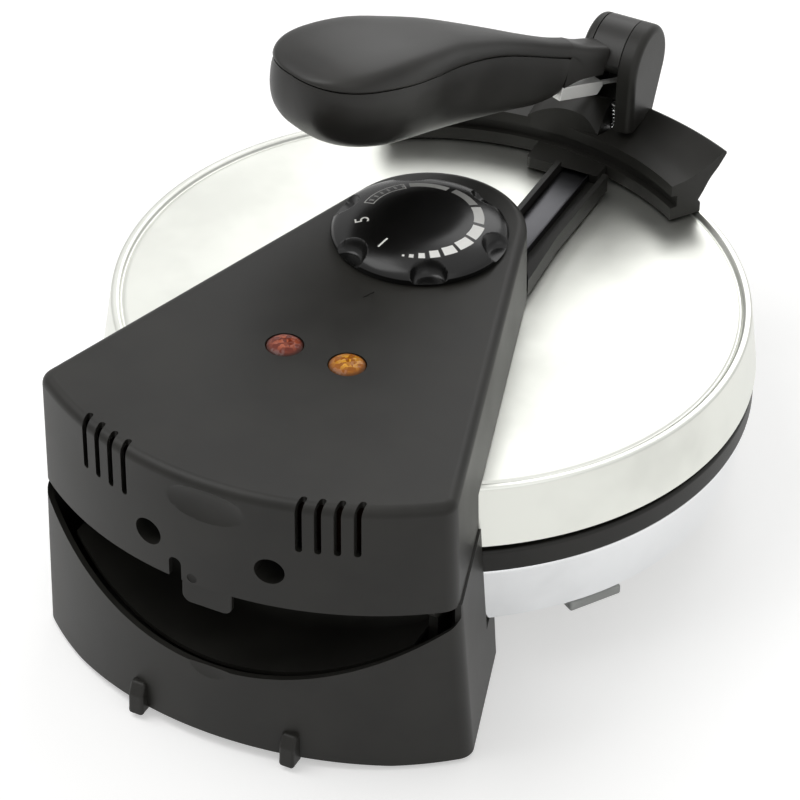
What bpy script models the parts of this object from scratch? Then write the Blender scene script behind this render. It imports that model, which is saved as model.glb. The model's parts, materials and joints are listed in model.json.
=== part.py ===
# Electric roti maker: a countertop flatbread press with two heated plates.
# Metres, +Z up. Rear housing at +Y, press handle pivot at -Y.
# Shapes are laid out about the lid's axis with z = 0 on the lid's flat top, and a
# frame empty then stands the whole thing on z = 0, centred over the origin.

import math

import bmesh
import bpy
from mathutils import Matrix, Vector

# Clearances and working values
GAP = 0.0003            # between pieces that touch
RUN = 0.002             # running clearance round things that move
OVERRUN = 0.004         # how far a cutter passes the face it cuts
MERGE = 0.00001
SHEET = 0.0012          # pressed steel sheet
WALL = 0.0028           # moulded housing wall
SCREW_RADIUS = 0.0018
SCREW_HEAD_RADIUS = 0.0036
SCREW_HEAD_HEIGHT = 0.0022

# Lid
LID_RADIUS = 0.142
LID_EDGE_ROUNDING = 0.0025
LID_BEAD_WIDTH = 0.0045
LID_BEAD_HEIGHT = 0.0009
LID_SKIRT_HEIGHT = 0.0281
LID_SKIRT_FLARE = 0.004
LINER_DROP = 0.0014     # the liner shows this much under the skirt
LINER_LEDGE = 0.006
PLATE_INSET = 0.015     # of the plates' edge from the lid's
PLATE_RADIUS = LID_RADIUS - PLATE_INSET
PLATE_FACE_INSET = 0.0055
PLATE_FACE_RADIUS = PLATE_RADIUS - PLATE_FACE_INSET
PLATE_THICKNESS = 0.0107
PLATE_FLANGE_WIDTH = 0.0065
PLATE_FLANGE_THICKNESS = 0.0029
PLATE_SPACING = 0.001   # between the two cooking faces when shut
REFLECTOR_THICKNESS = 0.0008
REFLECTOR_DEPTH = 0.013
REFLECTOR_INSET = 0.015     # of its flat floor from the plate's edge
REFLECTOR_FLAT_RADIUS = PLATE_RADIUS - REFLECTOR_INSET
ELEMENT_INSET = 0.042
ELEMENT_RING_RADIUS = PLATE_RADIUS - ELEMENT_INSET
ELEMENT_TUBE_RADIUS = 0.0033
ELEMENT_OPEN_ANGLE = 26.0
ELEMENT_TAIL = 0.012

# Base
RING_GAP = 0.002        # dark line between the liner and the base ring
RING_HEIGHT = 0.0107
RING_OVERHANG = 0.0035      # past the lid's edge
RING_RADIUS = LID_RADIUS + RING_OVERHANG
RING_INNER_CLEARANCE = 0.0015
RING_INNER_RADIUS = PLATE_RADIUS + RING_INNER_CLEARANCE
BASE_SKIRT_HEIGHT = 0.0302
BASE_SKIRT_TAPER = 0.0049
BASE_LIP_WIDTH = 0.0065
BASE_PAN_THICKNESS = 0.0015
STAND_HEIGHT = 0.0313   # from the skirt's lower edge to the table
PAD_HEIGHT = 0.0034
LEG_RADIUS = 0.011
LEG_SPREAD = 0.075
LEG_SETBACK = 0.088
LEG_TAPER = 0.0022
BUMPER_X = 0.112
BUMPER_Y = 0.072
BUMPER_WIDTH = 0.026
BUMPER_DEPTH = 0.008
BUMPER_HEIGHT = 0.0048

# Wedge-shaped upper housing
HOUSING_RISE = 0.039    # its flat top over the lid
HOUSING_HALF_WIDTH = 0.0428     # at the lid's axis
HOUSING_SPLAY = 0.30    # sideways per length
NOSE_CENTRE_Y = 0.002
REAR_RADIUS = 0.1525
REAR_APEX_Y = 0.212
CORNER_RADIUS = 0.0085
TOP_ROUNDING = 0.0045
TOP_WALL = 0.003
SEAM_DROP = 0.017       # below the lid's top
UPPER_SIDE_FLARE = 0.002
UPPER_REAR_LEAN = 0.002
VENT_WIDTH = 0.0028
VENT_PITCH = 0.0075
VENT_COUNT = 4
VENT_FIRST_X = 0.040
VENT_DROP = 0.0245      # down the rear wall from the top
VENT_REACH = 0.0065     # over the top from the rear wall
SCREW_WELL_X = 0.0279
SCREW_WELL_Z = 0.0014
SCREW_WELL_RADIUS = 0.0064
SCREW_WELL_DEPTH = 0.015
FINGER_DISH_WIDTH = 0.037
FINGER_DISH_HEIGHT = 0.021
FINGER_DISH_DEPTH = 0.0022
TONGUE_WIDTH = 0.0205
TONGUE_DROP = 0.0105
TONGUE_NOTCH = 0.0060
COVER_THICKNESS = 0.002
COVER_RISE = 0.010      # over the seam

# Rear base housing
LOWER_SIDE_STEP = 0.003
LOWER_SIDE_FLARE = 0.0095
LOWER_REAR_LEAN = 0.005
LOWER_FRONT_Y = 0.100
LOWER_LIFT = 0.002      # its lower edge over the table
DECK_THICKNESS = 0.003
SMILE_CLEARANCE = 0.0035
ARCH_HALF_WIDTH = 0.078
ARCH_RISE = 0.0035
RIB_X = 0.036
RIB_WIDTH = 0.007
RIB_DEPTH = 0.0055
RIB_HEIGHT = 0.016
REAR_PAD_X = 0.085
REAR_PAD_Y = 0.160
REAR_PAD_RADIUS = 0.0085
SHIELD_THICKNESS = 0.002
SHIELD_FRONT_Y = 0.151

# Main hinge
HINGE_Y = 0.172
HINGE_EAR_RADIUS = 0.007
HINGE_PIN_RADIUS = 0.003
HINGE_EAR_X = 0.080
HINGE_EAR_THICKNESS = 0.004
HINGE_POST_DEPTH = 0.014

# Control knob and its switch
KNOB_Y = 0.0145
KNOB_RADIUS = 0.039
KNOB_LIFT = 0.0005
KNOB_EDGE_HEIGHT = 0.0045
KNOB_DOME_HEIGHT = 0.0105
NOTCH_COUNT = 6
NOTCH_FIRST_ANGLE = 122.0
NOTCH_RADIUS = 0.0085
NOTCH_SHIFT = 0.0005    # of a notch's centre past the knob's rim
NOTCH_FLOOR = 0.0012    # left under a notch
SHAFT_RADIUS = 0.003
SHAFT_LENGTH = 0.024
THERMOSTAT_RADIUS = 0.017
THERMOSTAT_HEIGHT = 0.016
BUSH_RADIUS = 0.006
BUSH_LENGTH = 0.0075

# Lamps
LAMP_X = 0.0147
LAMP_Y = 0.1133
LAMP_RADIUS = 0.008
LAMP_DOME = 0.0019
LAMP_FLANGE = 0.0015
LAMP_BODY_RADIUS = 0.005
LAMP_BODY_LENGTH = 0.015

# Spine between the housing and the front bracket
SPINE_X = -0.0235       # its centre, towards -X as on the real product
SPINE_WIDTH = 0.026
SPINE_HEIGHT = 0.009
SPINE_WALL = 0.0025
SPINE_FLOOR = 0.0018
SPINE_FLARE = 0.004
STRAP_WIDTH = 0.0135
STRAP_THICKNESS = 0.002
STRAP_SHIFT = 0.0035    # of the strap's centre from the spine's
STRAP_RAIL = 0.0012

# Front bracket
BRACKET_RADIUS = 0.124
BRACKET_HALF_ANGLE = 35.2
FLANGE_HEIGHT = 0.0065
FLANGE_REACH = 0.016
WING_REACH = 0.0285
WING_BOTTOM = 0.013
WING_LIP = 0.0055
WING_RISE = 0.0115      # of its outer rim over its inner edge
GROOVE_DEPTH = 0.0032
TAB_REACH = 0.0140
TAB_LEFT_X = 0.005
TAB_RIGHT_X = -0.031
WING_CENTRE_SHARE = 0.55    # of the rim's rise that is left at the middle of the wing
BOSS_LEFT_X = 0.011
BOSS_RIGHT_X = -0.0245
BOSS_RISE = 0.0165
BOSS_FACE_Y = -0.1237
BOSS_DEPTH = 0.0155
POCKET_FLOOR = 0.0140
POCKET_WIDTH = 0.0068

# Press handle and its pivot
PIVOT_Y = -0.145
PIVOT_Z = 0.049
EAR_RADIUS = 0.0195
RIGHT_EAR_THICKNESS = 0.0085
LEFT_EAR_THICKNESS = 0.0045
EAR_ROUNDING = 0.0035
EAR_FOOT_DEPTH = 0.0120
YOKE_RIGHT_X = -0.0400
YOKE_LEFT_X = -0.0110
YOKE_BASE_HEIGHT = 0.006
PIVOT_PIN_RADIUS = 0.003
HUB_BOSS_RADIUS = 0.0075
HUB_OPEN_ANGLE = 20.0
HUB_CLOSE_ANGLE = 240.0
HANDLE_LENGTH = 0.204
HANDLE_SKEW = 22.3
HANDLE_SLOPE = 14.6
HANDLE_LIFT = 0.0033    # of its long axis over the pivot
HANDLE_SHIFT = 0.0029   # of its root from the pivot's middle, towards +X
HANDLE_WIDTH = 0.056
HANDLE_CROWN = 0.028
HANDLE_BELLY = 0.0235
HANDLE_SEAM = 0.0145
HANDLE_SWAY = -0.005
HANDLE_WALL = 0.003
NECK_WIDTH = 0.0125
NECK_CROWN = 0.0090
NECK_BELLY = 0.0065
NECK_LENGTH = 0.039
TONGUE_PLATE_WIDTH = 0.0062
TONGUE_PLATE_DEPTH = 0.0068
TONGUE_PLATE_START = 0.0125
RELEASE_ROD_RADIUS = 0.0011
SPRING_RADIUS = 0.00175
SPRING_WIRE_RADIUS = 0.0004
SPRING_TURNS = 7
PLUNGER_RADIUS = 0.0009
PLUNGER_TOP_Z = 0.0300

# Facets of the round pieces
ROUND_STEPS = 48
KNOB_STEPS = 40
HUB_STEPS = 40
ELEMENT_STEPS = 32
SMALL_STEPS = 20
TINY_STEPS = 12
REAR_STEPS = 16         # round the rear arc, and NOSE_STEPS round the nose
NOSE_STEPS = 16
BRACKET_STEPS = 18
SPRING_STEPS = 8        # a turn

# Shares of the handle's length, width, sway, crown, belly and seam height at each station
HANDLE_SHARES = (
    (0.180, 0.21, 0.92, 0.42, 0.62, 0.36),
    (0.250, 0.20, 0.75, 0.48, 0.80, 0.47),
    (0.330, 0.23, 0.50, 0.59, 0.86, 0.65),
    (0.410, 0.32, 0.28, 0.71, 0.91, 0.83),
    (0.490, 0.45, 0.12, 0.82, 0.95, 0.95),
    (0.580, 0.61, 0.00, 0.93, 0.99, 1.00),
    (0.670, 0.80, 0.00, 0.98, 1.00, 1.00),
    (0.760, 0.95, 0.00, 1.00, 0.98, 1.00),
    (0.850, 1.00, 0.00, 0.93, 0.87, 1.00),
    (0.920, 0.93, 0.00, 0.82, 0.68, 0.99),
    (0.965, 0.75, 0.00, 0.70, 0.45, 0.97),
    (0.990, 0.52, 0.00, 0.62, 0.22, 0.96),
    (1.000, 0.30, 0.00, 0.58, 0.05, 0.95),
)
# Shares of half width and crown round the handle's upper section, right to left
CROWN_SHARES = ((1.0, 0.12), (0.97, 0.52), (0.86, 0.78), (0.60, 0.93), (0.30, 0.99), (0.0, 1.0))
# Shares of half width and belly round the handle's lower section, left to right
BELLY_SHARES = ((0.99, 0.22), (0.90, 0.55), (0.70, 0.82), (0.38, 0.97), (0.0, 1.0))
# Shares of half width and height round the neck's section, right to left
NECK_SHARES = ((1.0, 0.0), (1.0, 0.72), (0.93, 0.90), (0.75, 0.98), (0.4, 1.0), (0.0, 1.0))
# Shares of the bracket's wing, from its inner edge: reach and rise on top, then beneath
WING_TOP_SHARES = ((0.0, 0.0), (0.36, 0.16), (0.68, 0.52), (0.92, 0.93))
WING_UNDER_SHARES = ((1.0, 0.80), (0.86, 0.32), (0.72, -0.12), (0.60, -0.66))
# The hump on the bracket that hides the pivot's foot. At each share of its depth, points that
# are shares of the way from its left edge to its right one and of its rise
BOSS_SHARES = (
    (0.0, ((0.0, 0.06), (0.2, 0.36), (0.48, 0.58), (0.79, 0.52), (1.0, 0.03))),
    (0.5, ((0.0, 0.12), (0.2, 0.52), (0.48, 0.82), (0.79, 0.94), (1.0, 0.45))),
    (1.0, ((0.0, 0.12), (0.2, 0.55), (0.48, 0.85), (0.79, 1.00), (1.0, 0.67))),
)

# Heights worked out from the sizes above, from the lid's flat top down
LID_SKIRT_Z = -LID_SKIRT_HEIGHT
LINER_Z = LID_SKIRT_Z - LINER_DROP
RING_TOP_Z = LINER_Z - RING_GAP
RING_Z = RING_TOP_Z - RING_HEIGHT
BASE_TOP_Z = RING_Z - GAP
BASE_Z = BASE_TOP_Z - BASE_SKIRT_HEIGHT
TABLE_Z = BASE_Z - STAND_HEIGHT
UPPER_FACE_Z = LINER_Z - PLATE_SPACING / 2 - RING_GAP / 4
LOWER_FACE_Z = UPPER_FACE_Z - PLATE_SPACING
LID_SKIRT_RADIUS = LID_RADIUS + LID_SKIRT_FLARE
SEAM_Z = -SEAM_DROP
LOWER_Z = TABLE_Z + LOWER_LIFT
HOUSING_TOP_Z = HOUSING_RISE
CEILING_Z = HOUSING_RISE - TOP_WALL
DECK_Z = BASE_Z - GAP
SPLAY_ANGLE = math.atan(HOUSING_SPLAY)
REAR_CENTRE_Y = REAR_APEX_Y - REAR_RADIUS
FRONT_REACH_Y = PIVOT_Y - EAR_RADIUS
FRAME_SHIFT_Y = -(REAR_APEX_Y - UPPER_REAR_LEAN / 5 + FRONT_REACH_Y) / 2
YOKE_SEAT_Z = WING_BOTTOM + WING_LIP
STRAP_X = SPINE_X + STRAP_SHIFT
STRAP_Z = GAP + SPINE_FLOOR + GAP


# Scene and materials
for old in list(bpy.data.objects):
    bpy.data.objects.remove(old, do_unlink=True)

parts = bpy.data.collections.new("electric_roti_maker")
cutters = bpy.data.collections.new("cutters")
bpy.context.scene.collection.children.link(parts)
bpy.context.scene.collection.children.link(cutters)
cutters.hide_render = True


def make_finish(name, colour, roughness, metallic):
    finish = bpy.data.materials.new(name)
    finish.use_nodes = True
    shader = finish.node_tree.nodes["Principled BSDF"]
    shader.inputs["Base Color"].default_value = (*colour, 1.0)
    shader.inputs["Roughness"].default_value = roughness
    shader.inputs["Metallic"].default_value = metallic
    finish.diffuse_color = (*colour, 1.0)
    return finish


FINISHES = {
    "black_plastic": make_finish("black_plastic", (0.022, 0.021, 0.019), 0.55, 0.0),
    "knob_plastic": make_finish("knob_plastic", (0.016, 0.016, 0.017), 0.25, 0.0),
    "polished_steel": make_finish("polished_steel", (0.74, 0.75, 0.72), 0.16, 1.0),
    "plain_steel": make_finish("plain_steel", (0.46, 0.46, 0.45), 0.38, 1.0),
    "cast_aluminium": make_finish("cast_aluminium", (0.10, 0.10, 0.105), 0.45, 0.3),
    "element_sheath": make_finish("element_sheath", (0.22, 0.20, 0.19), 0.5, 0.9),
    "rubber": make_finish("rubber", (0.03, 0.03, 0.03), 0.8, 0.0),
    "grey_rubber": make_finish("grey_rubber", (0.42, 0.43, 0.42), 0.7, 0.0),
    "red_lens": make_finish("red_lens", (0.42, 0.05, 0.03), 0.2, 0.0),
    "amber_lens": make_finish("amber_lens", (0.85, 0.32, 0.03), 0.2, 0.0),
    "lamp_body": make_finish("lamp_body", (0.60, 0.58, 0.52), 0.5, 0.0),
    "switch_body": make_finish("switch_body", (0.55, 0.50, 0.40), 0.6, 0.0),
}


# Shape makers
def add_object(name, mesh, finish=None):
    obj = bpy.data.objects.new(name, mesh)
    if finish is None:
        cutters.objects.link(obj)
        obj.hide_render = True
        obj.display_type = "WIRE"
    else:
        mesh.materials.append(FINISHES[finish])
        parts.objects.link(obj)
    return obj


def smooth(mesh, angle=35.0):
    mesh.shade_smooth()
    mesh.set_sharp_from_angle(angle=math.radians(angle))


def combine(obj, other, operation):
    modifier = obj.modifiers.new(operation.lower() + "_" + other.name, "BOOLEAN")
    modifier.operation = operation
    modifier.solver = "EXACT"
    modifier.object = other
    return obj


def cut(obj, *others):
    for other in others:
        combine(obj, other, "DIFFERENCE")
    return obj


def join(obj, *others):
    for other in others:
        combine(obj, other, "UNION")
    return obj


def blocks(name, corners, finish=None, rounding=0.0):
    """One mesh of boxes, each given by its low and high corner."""
    shape = bmesh.new()
    for low, high in corners:
        low = Vector(low)
        high = Vector(high)
        size = Matrix.Diagonal((high - low).to_4d())
        size[3][3] = 1.0
        bmesh.ops.create_cube(shape, size=1.0, matrix=Matrix.Translation((low + high) / 2) @ size)
    if rounding:
        bmesh.ops.bevel(
            shape, geom=shape.edges[:], offset=rounding, segments=2, profile=0.5, affect="EDGES"
        )
    mesh = bpy.data.meshes.new(name)
    shape.to_mesh(mesh)
    shape.free()
    smooth(mesh)
    return add_object(name, mesh, finish)


def turned(name, profile, finish=None, steps=ROUND_STEPS, at=(0, 0), sheet=0.0):
    """A profile of (radius, height) points, from the top down its outer side, turned about Z."""
    mesh = bpy.data.meshes.new(name)
    last = len(profile) - 1
    edges = [(i, i + 1) for i in range(last)]
    open_profile = profile[0][0] == 0 or profile[last][0] == 0 or sheet
    if not open_profile:
        edges.append((last, 0))
    mesh.from_pydata([(radius, 0, height) for radius, height in profile], edges, [])
    obj = add_object(name, mesh, finish)
    obj.location = (*at, 0)
    turn = obj.modifiers.new("turn", "SCREW")
    turn.axis = "Z"
    turn.angle = math.tau
    turn.steps = steps
    turn.render_steps = steps
    turn.use_merge_vertices = True
    turn.merge_threshold = MERGE
    turn.use_smooth_shade = True
    if sheet:
        skin = obj.modifiers.new("sheet", "SOLIDIFY")
        skin.thickness = sheet
        skin.offset = -1
    return obj


def lie_along(obj, axis, centre):
    """Turns a piece made about Z to lie along another axis, and places its origin."""
    turns = {"X": (0, math.pi / 2, 0), "Y": (-math.pi / 2, 0, 0), "Z": (0, 0, 0)}
    obj.rotation_euler = turns[axis]
    obj.location = centre
    return obj


def rod(name, radius, axis, centre, length, finish=None, steps=SMALL_STEPS, rounding=0.0):
    half = length / 2
    profile = [(0, half), (radius - rounding, half), (radius, half - rounding)]
    profile += [(radius, rounding - half), (radius - rounding, -half), (0, -half)]
    if not rounding:
        profile = [(0, half), (radius, half), (radius, -half), (0, -half)]
    return lie_along(turned(name, profile, finish, steps), axis, centre)


def prism(name, outline, low, high, axis="Z", finish=None, rounding=0.0):
    """A flat outline given thickness from low to high. Outline points are (x, y) for Z,
    (x, z) for Y and (y, z) for X."""
    curve = bpy.data.curves.new(name + "_outline", "CURVE")
    curve.dimensions = "2D"
    curve.fill_mode = "BOTH"
    curve.extrude = (high - low) / 2
    spline = curve.splines.new("POLY")
    spline.points.add(len(outline) - 1)
    for point, (across, along) in zip(spline.points, outline):
        point.co = (across, along, 0, 1)
    spline.use_cyclic_u = True
    guide = bpy.data.objects.new(name + "_guide", curve)
    bpy.context.scene.collection.objects.link(guide)
    frames = {
        "Z": Matrix(((1, 0, 0), (0, 1, 0), (0, 0, 1))),
        "Y": Matrix(((1, 0, 0), (0, 0, -1), (0, 1, 0))),
        "X": Matrix(((0, 0, 1), (1, 0, 0), (0, 1, 0))),
    }
    frame = frames[axis]
    along_axis = (low + high) / 2
    if axis == "Y":
        along_axis = -along_axis
    graph = bpy.context.evaluated_depsgraph_get()
    mesh = bpy.data.meshes.new_from_object(guide.evaluated_get(graph))
    bpy.data.objects.remove(guide)
    mesh.name = name
    mesh.materials.clear()
    mesh.transform(frame.to_4x4() @ Matrix.Translation((0, 0, along_axis)))
    shape = bmesh.new()
    shape.from_mesh(mesh)
    bmesh.ops.remove_doubles(shape, verts=shape.verts[:], dist=MERGE)
    bmesh.ops.dissolve_limit(
        shape, angle_limit=math.radians(0.5), verts=shape.verts[:], edges=shape.edges[:]
    )
    bmesh.ops.recalc_face_normals(shape, faces=shape.faces[:])
    if rounding:
        sharp = [e for e in shape.edges if e.calc_face_angle(0) > math.radians(50)]
        bmesh.ops.bevel(
            shape, geom=sharp, offset=rounding, segments=2, profile=0.5, affect="EDGES"
        )
    shape.to_mesh(mesh)
    shape.free()
    smooth(mesh)
    return add_object(name, mesh, finish)


def loft(name, sections, finish=None):
    """Skins closed loops of equal length and caps both ends."""
    count = len(sections[0])
    points = [point for section in sections for point in section]
    faces = []
    for level in range(len(sections) - 1):
        start = level * count
        for i in range(count):
            j = (i + 1) % count
            faces.append((start + i, start + j, start + count + j, start + count + i))
    faces.append(tuple(reversed(range(count))))
    faces.append(tuple(range(len(points) - count, len(points))))
    mesh = bpy.data.meshes.new(name)
    mesh.from_pydata(points, [], faces)
    shape = bmesh.new()
    shape.from_mesh(mesh)
    bmesh.ops.recalc_face_normals(shape, faces=shape.faces[:])
    bmesh.ops.triangulate(shape, faces=shape.faces[:], ngon_method="EAR_CLIP")
    shape.to_mesh(mesh)
    shape.free()
    smooth(mesh, 40.0)
    return add_object(name, mesh, finish)


def tube(name, points, radius, finish, resolution=2):
    curve = bpy.data.curves.new(name, "CURVE")
    curve.dimensions = "3D"
    curve.bevel_depth = radius
    curve.bevel_resolution = resolution
    curve.use_fill_caps = True
    spline = curve.splines.new("POLY")
    spline.points.add(len(points) - 1)
    for point, place in zip(spline.points, points):
        point.co = (*place, 1)
    curve.materials.append(FINISHES[finish])
    obj = bpy.data.objects.new(name, curve)
    parts.objects.link(obj)
    return obj


def arc(centre, radius, start, end, steps):
    """Points from one angle to another, in degrees."""
    angles = [math.radians(start + (end - start) * i / steps) for i in range(steps + 1)]
    return [(centre[0] + radius * math.cos(a), centre[1] + radius * math.sin(a)) for a in angles]


def mirrored(outline):
    return [(-x, y) for x, y in reversed(outline)]


def at_height(outline, height):
    return [(x, y, height) for x, y in outline]


# Plan of the housings: a nose, two splayed sides and a rounded rear
def rear_corner(side, rear):
    """Centre of the right rear corner's rounding, with the sides and rear grown outwards."""
    offset = HOUSING_HALF_WIDTH + (side - CORNER_RADIUS) / math.cos(SPLAY_ANGLE)
    radius = REAR_RADIUS + rear - CORNER_RADIUS
    a = 1 + HOUSING_SPLAY**2
    b = 2 * (offset * HOUSING_SPLAY - REAR_CENTRE_Y)
    c = offset**2 + REAR_CENTRE_Y**2 - radius**2
    y = (-b + math.sqrt(b * b - 4 * a * c)) / (2 * a)
    return offset + HOUSING_SPLAY * y, y


def side_x(y, side=0.0):
    return HOUSING_HALF_WIDTH + side / math.cos(SPLAY_ANGLE) + HOUSING_SPLAY * y


def rear_y(x, rear=0.0):
    return REAR_CENTRE_Y + math.sqrt((REAR_RADIUS + rear) ** 2 - x * x)


def rear_outline(side, rear, inset=0.0):
    """The right rear corner, the rear arc and the left rear corner."""
    centre = rear_corner(side, rear)
    splay = math.degrees(SPLAY_ANGLE)
    lean = math.degrees(math.atan2(centre[1] - REAR_CENTRE_Y, centre[0]))
    corner = arc(centre, CORNER_RADIUS - inset, -splay, lean, 3)
    back = arc((0, REAR_CENTRE_Y), REAR_RADIUS + rear - inset, lean, 180 - lean, REAR_STEPS)
    return corner + back[1:-1] + mirrored(corner)


def wedge_plan(side=0.0, rear=0.0, inset=0.0):
    """The upper housing's outline. Inset moves all of it inwards alike."""
    splay = math.degrees(SPLAY_ANGLE)
    radius = side_x(NOSE_CENTRE_Y) * math.cos(SPLAY_ANGLE) + side - inset
    nose = arc((0, NOSE_CENTRE_Y), radius, 180 + splay, 360 - splay, NOSE_STEPS)
    return nose + rear_outline(side, rear, inset)


def block_plan(side, rear, front, inset=0.0):
    """The rear base housing's outline, cut straight across at the front."""
    y = front + inset
    x = side_x(y, side - inset)
    return [(-x, y), (x, y)] + rear_outline(side, rear, inset)


def upper_growth(z):
    share = (HOUSING_TOP_Z - z) / (HOUSING_TOP_Z - SEAM_Z)
    return UPPER_SIDE_FLARE * share, -UPPER_REAR_LEAN * share


def lower_growth(z):
    share = (SEAM_Z - z) / (SEAM_Z - LOWER_Z)
    side = LOWER_SIDE_STEP + (LOWER_SIDE_FLARE - LOWER_SIDE_STEP) * share
    return side, -UPPER_REAR_LEAN - (LOWER_REAR_LEAN - UPPER_REAR_LEAN) * share


# Lid
def make_lid_cover():
    bead = LID_RADIUS - LID_BEAD_WIDTH
    edge = LID_EDGE_ROUNDING
    slope = LID_SKIRT_FLARE / LID_SKIRT_HEIGHT
    profile = [
        (0, -LID_BEAD_HEIGHT),
        (bead - edge / 2, -LID_BEAD_HEIGHT),
        (bead, -LID_BEAD_HEIGHT * 2),
        (bead + edge / 2, -LID_BEAD_HEIGHT / 2),
        (LID_RADIUS - edge * 0.7, 0),
        (LID_RADIUS - edge * 0.2, -edge * 0.3),
        (LID_RADIUS + slope * edge, -edge),
        (LID_SKIRT_RADIUS, LID_SKIRT_Z),
    ]
    return turned("lid_cover", profile, "polished_steel", ROUND_STEPS, sheet=SHEET)


def plate_profile(face_z, top):
    """The cooking plate. The upper one is the lower one turned over."""
    side = 1 if top else -1
    flange_radius = PLATE_RADIUS + PLATE_FLANGE_WIDTH
    face = face_z
    step = face + side * (PLATE_THICKNESS - PLATE_FLANGE_THICKNESS) / 2
    outline = [
        (0, face),
        (PLATE_FACE_RADIUS, face),
        (PLATE_FACE_RADIUS + (PLATE_RADIUS - PLATE_FACE_RADIUS) / 2, step - side * GAP),
        (PLATE_RADIUS, step),
        (PLATE_RADIUS, face + side * (PLATE_THICKNESS - PLATE_FLANGE_THICKNESS)),
        (flange_radius, face + side * (PLATE_THICKNESS - PLATE_FLANGE_THICKNESS)),
        (flange_radius, face + side * PLATE_THICKNESS),
        (0, face + side * PLATE_THICKNESS),
    ]
    return list(reversed(outline)) if top else outline


def make_plates():
    turned("upper_cooking_plate", plate_profile(UPPER_FACE_Z, True), "cast_aluminium")
    turned("lower_cooking_plate", plate_profile(LOWER_FACE_Z, False), "cast_aluminium")


def make_lid_liner():
    flange_z = UPPER_FACE_Z + PLATE_THICKNESS - PLATE_FLANGE_THICKNESS
    ledge_top = flange_z - GAP
    top = UPPER_FACE_Z + PLATE_THICKNESS
    outer = LID_SKIRT_RADIUS - SHEET * 1.3 - LID_SKIRT_FLARE * 0.2
    seat = PLATE_RADIUS + PLATE_FLANGE_WIDTH + GAP
    inner = PLATE_RADIUS + GAP * 2
    profile = [
        (seat, top),
        (outer - LINER_LEDGE / 3, top),
        (outer, top - LINER_LEDGE / 3),
        (outer, LINER_Z + GAP * 2),
        (outer - GAP * 2, LINER_Z),
        (inner, LINER_Z),
        (inner, ledge_top),
        (seat, ledge_top),
    ]
    return turned("lid_liner", profile, "black_plastic")


def reflector(name, flange_z, side):
    """A dished sheet behind a heating element. Side is 1 over the element and -1 under it."""
    outer = PLATE_RADIUS + PLATE_FLANGE_WIDTH * 1.5
    foot = PLATE_RADIUS - GAP
    flat_z = flange_z + side * REFLECTOR_DEPTH
    thick = REFLECTOR_THICKNESS
    near = [(0, flat_z), (REFLECTOR_FLAT_RADIUS, flat_z), (foot, flange_z), (outer, flange_z)]
    far = [(r + (thick if 0 < r < outer else 0), z + side * thick) for r, z in near]
    if side > 0:
        return turned(name, far + list(reversed(near)), "plain_steel")
    return turned(name, near + list(reversed(far)), "plain_steel")


def element_points(z):
    open_half = ELEMENT_OPEN_ANGLE / 2
    ring = arc((0, 0), ELEMENT_RING_RADIUS, 90 + open_half, 450 - open_half, ELEMENT_STEPS)
    points = [(x, y, z) for x, y in ring]
    start = points[0]
    end = points[-1]
    tail = ELEMENT_TAIL
    first = (start[0], start[1] + tail, z)
    last = (end[0], end[1] + tail, z)
    return [first] + points + [last]


def make_heating():
    lift = ELEMENT_TUBE_RADIUS + GAP
    upper_back = UPPER_FACE_Z + PLATE_THICKNESS
    lower_back = LOWER_FACE_Z - PLATE_THICKNESS
    tube("upper_heating_element", element_points(upper_back + lift),
         ELEMENT_TUBE_RADIUS, "element_sheath", 1)
    tube("lower_heating_element", element_points(lower_back - lift),
         ELEMENT_TUBE_RADIUS, "element_sheath", 1)
    reflector("upper_reflector", upper_back + GAP, 1)
    reflector("lower_reflector", BASE_TOP_Z - SHEET - GAP, -1)


# Base
def make_base_ring():
    flange_top = LOWER_FACE_Z - PLATE_THICKNESS + PLATE_FLANGE_THICKNESS
    round_off = RING_HEIGHT / 6
    seat = PLATE_RADIUS + PLATE_FLANGE_WIDTH + GAP
    profile = [
        (RING_INNER_RADIUS, RING_TOP_Z),
        (RING_RADIUS - round_off, RING_TOP_Z),
        (RING_RADIUS, RING_TOP_Z - round_off),
        (RING_RADIUS, RING_Z),
        (seat, RING_Z),
        (seat, flange_top + GAP),
        (RING_INNER_RADIUS, flange_top + GAP),
    ]
    return turned("base_ring", profile, "black_plastic")


def make_base_skirt():
    outer_top = RING_RADIUS - GAP
    outer_low = outer_top - BASE_SKIRT_TAPER
    inner_top = PLATE_RADIUS + GAP
    profile = [
        (inner_top, BASE_TOP_Z),
        (outer_top, BASE_TOP_Z),
        (outer_top, BASE_TOP_Z - SHEET),
        (outer_low, BASE_Z),
        (outer_low - BASE_LIP_WIDTH, BASE_Z),
        (outer_low - BASE_LIP_WIDTH, BASE_Z + SHEET),
        (outer_low - SHEET, BASE_Z + SHEET),
        (outer_top - SHEET, BASE_TOP_Z - SHEET * 1.5),
        (outer_top - SHEET * 1.5, BASE_TOP_Z - SHEET),
        (inner_top, BASE_TOP_Z - SHEET),
    ]
    return turned("base_skirt", profile, "polished_steel")


def make_bottom_pan():
    low = BASE_Z + SHEET + GAP
    high = low + BASE_PAN_THICKNESS
    outer = RING_RADIUS - GAP - BASE_SKIRT_TAPER - SHEET - GAP * 2
    lip_inner = outer - BASE_LIP_WIDTH - OVERRUN
    drop = SHEET
    profile = [
        (0, high - drop),
        (lip_inner, high - drop),
        (lip_inner + drop, high),
        (outer, high),
        (outer, low),
        (lip_inner + drop * 1.5, low),
        (lip_inner + drop / 2, low - drop),
        (0, low - drop),
    ]
    return turned("bottom_pan", profile, "plain_steel")


def pan_underside():
    return BASE_Z + SHEET + GAP - SHEET


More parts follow.
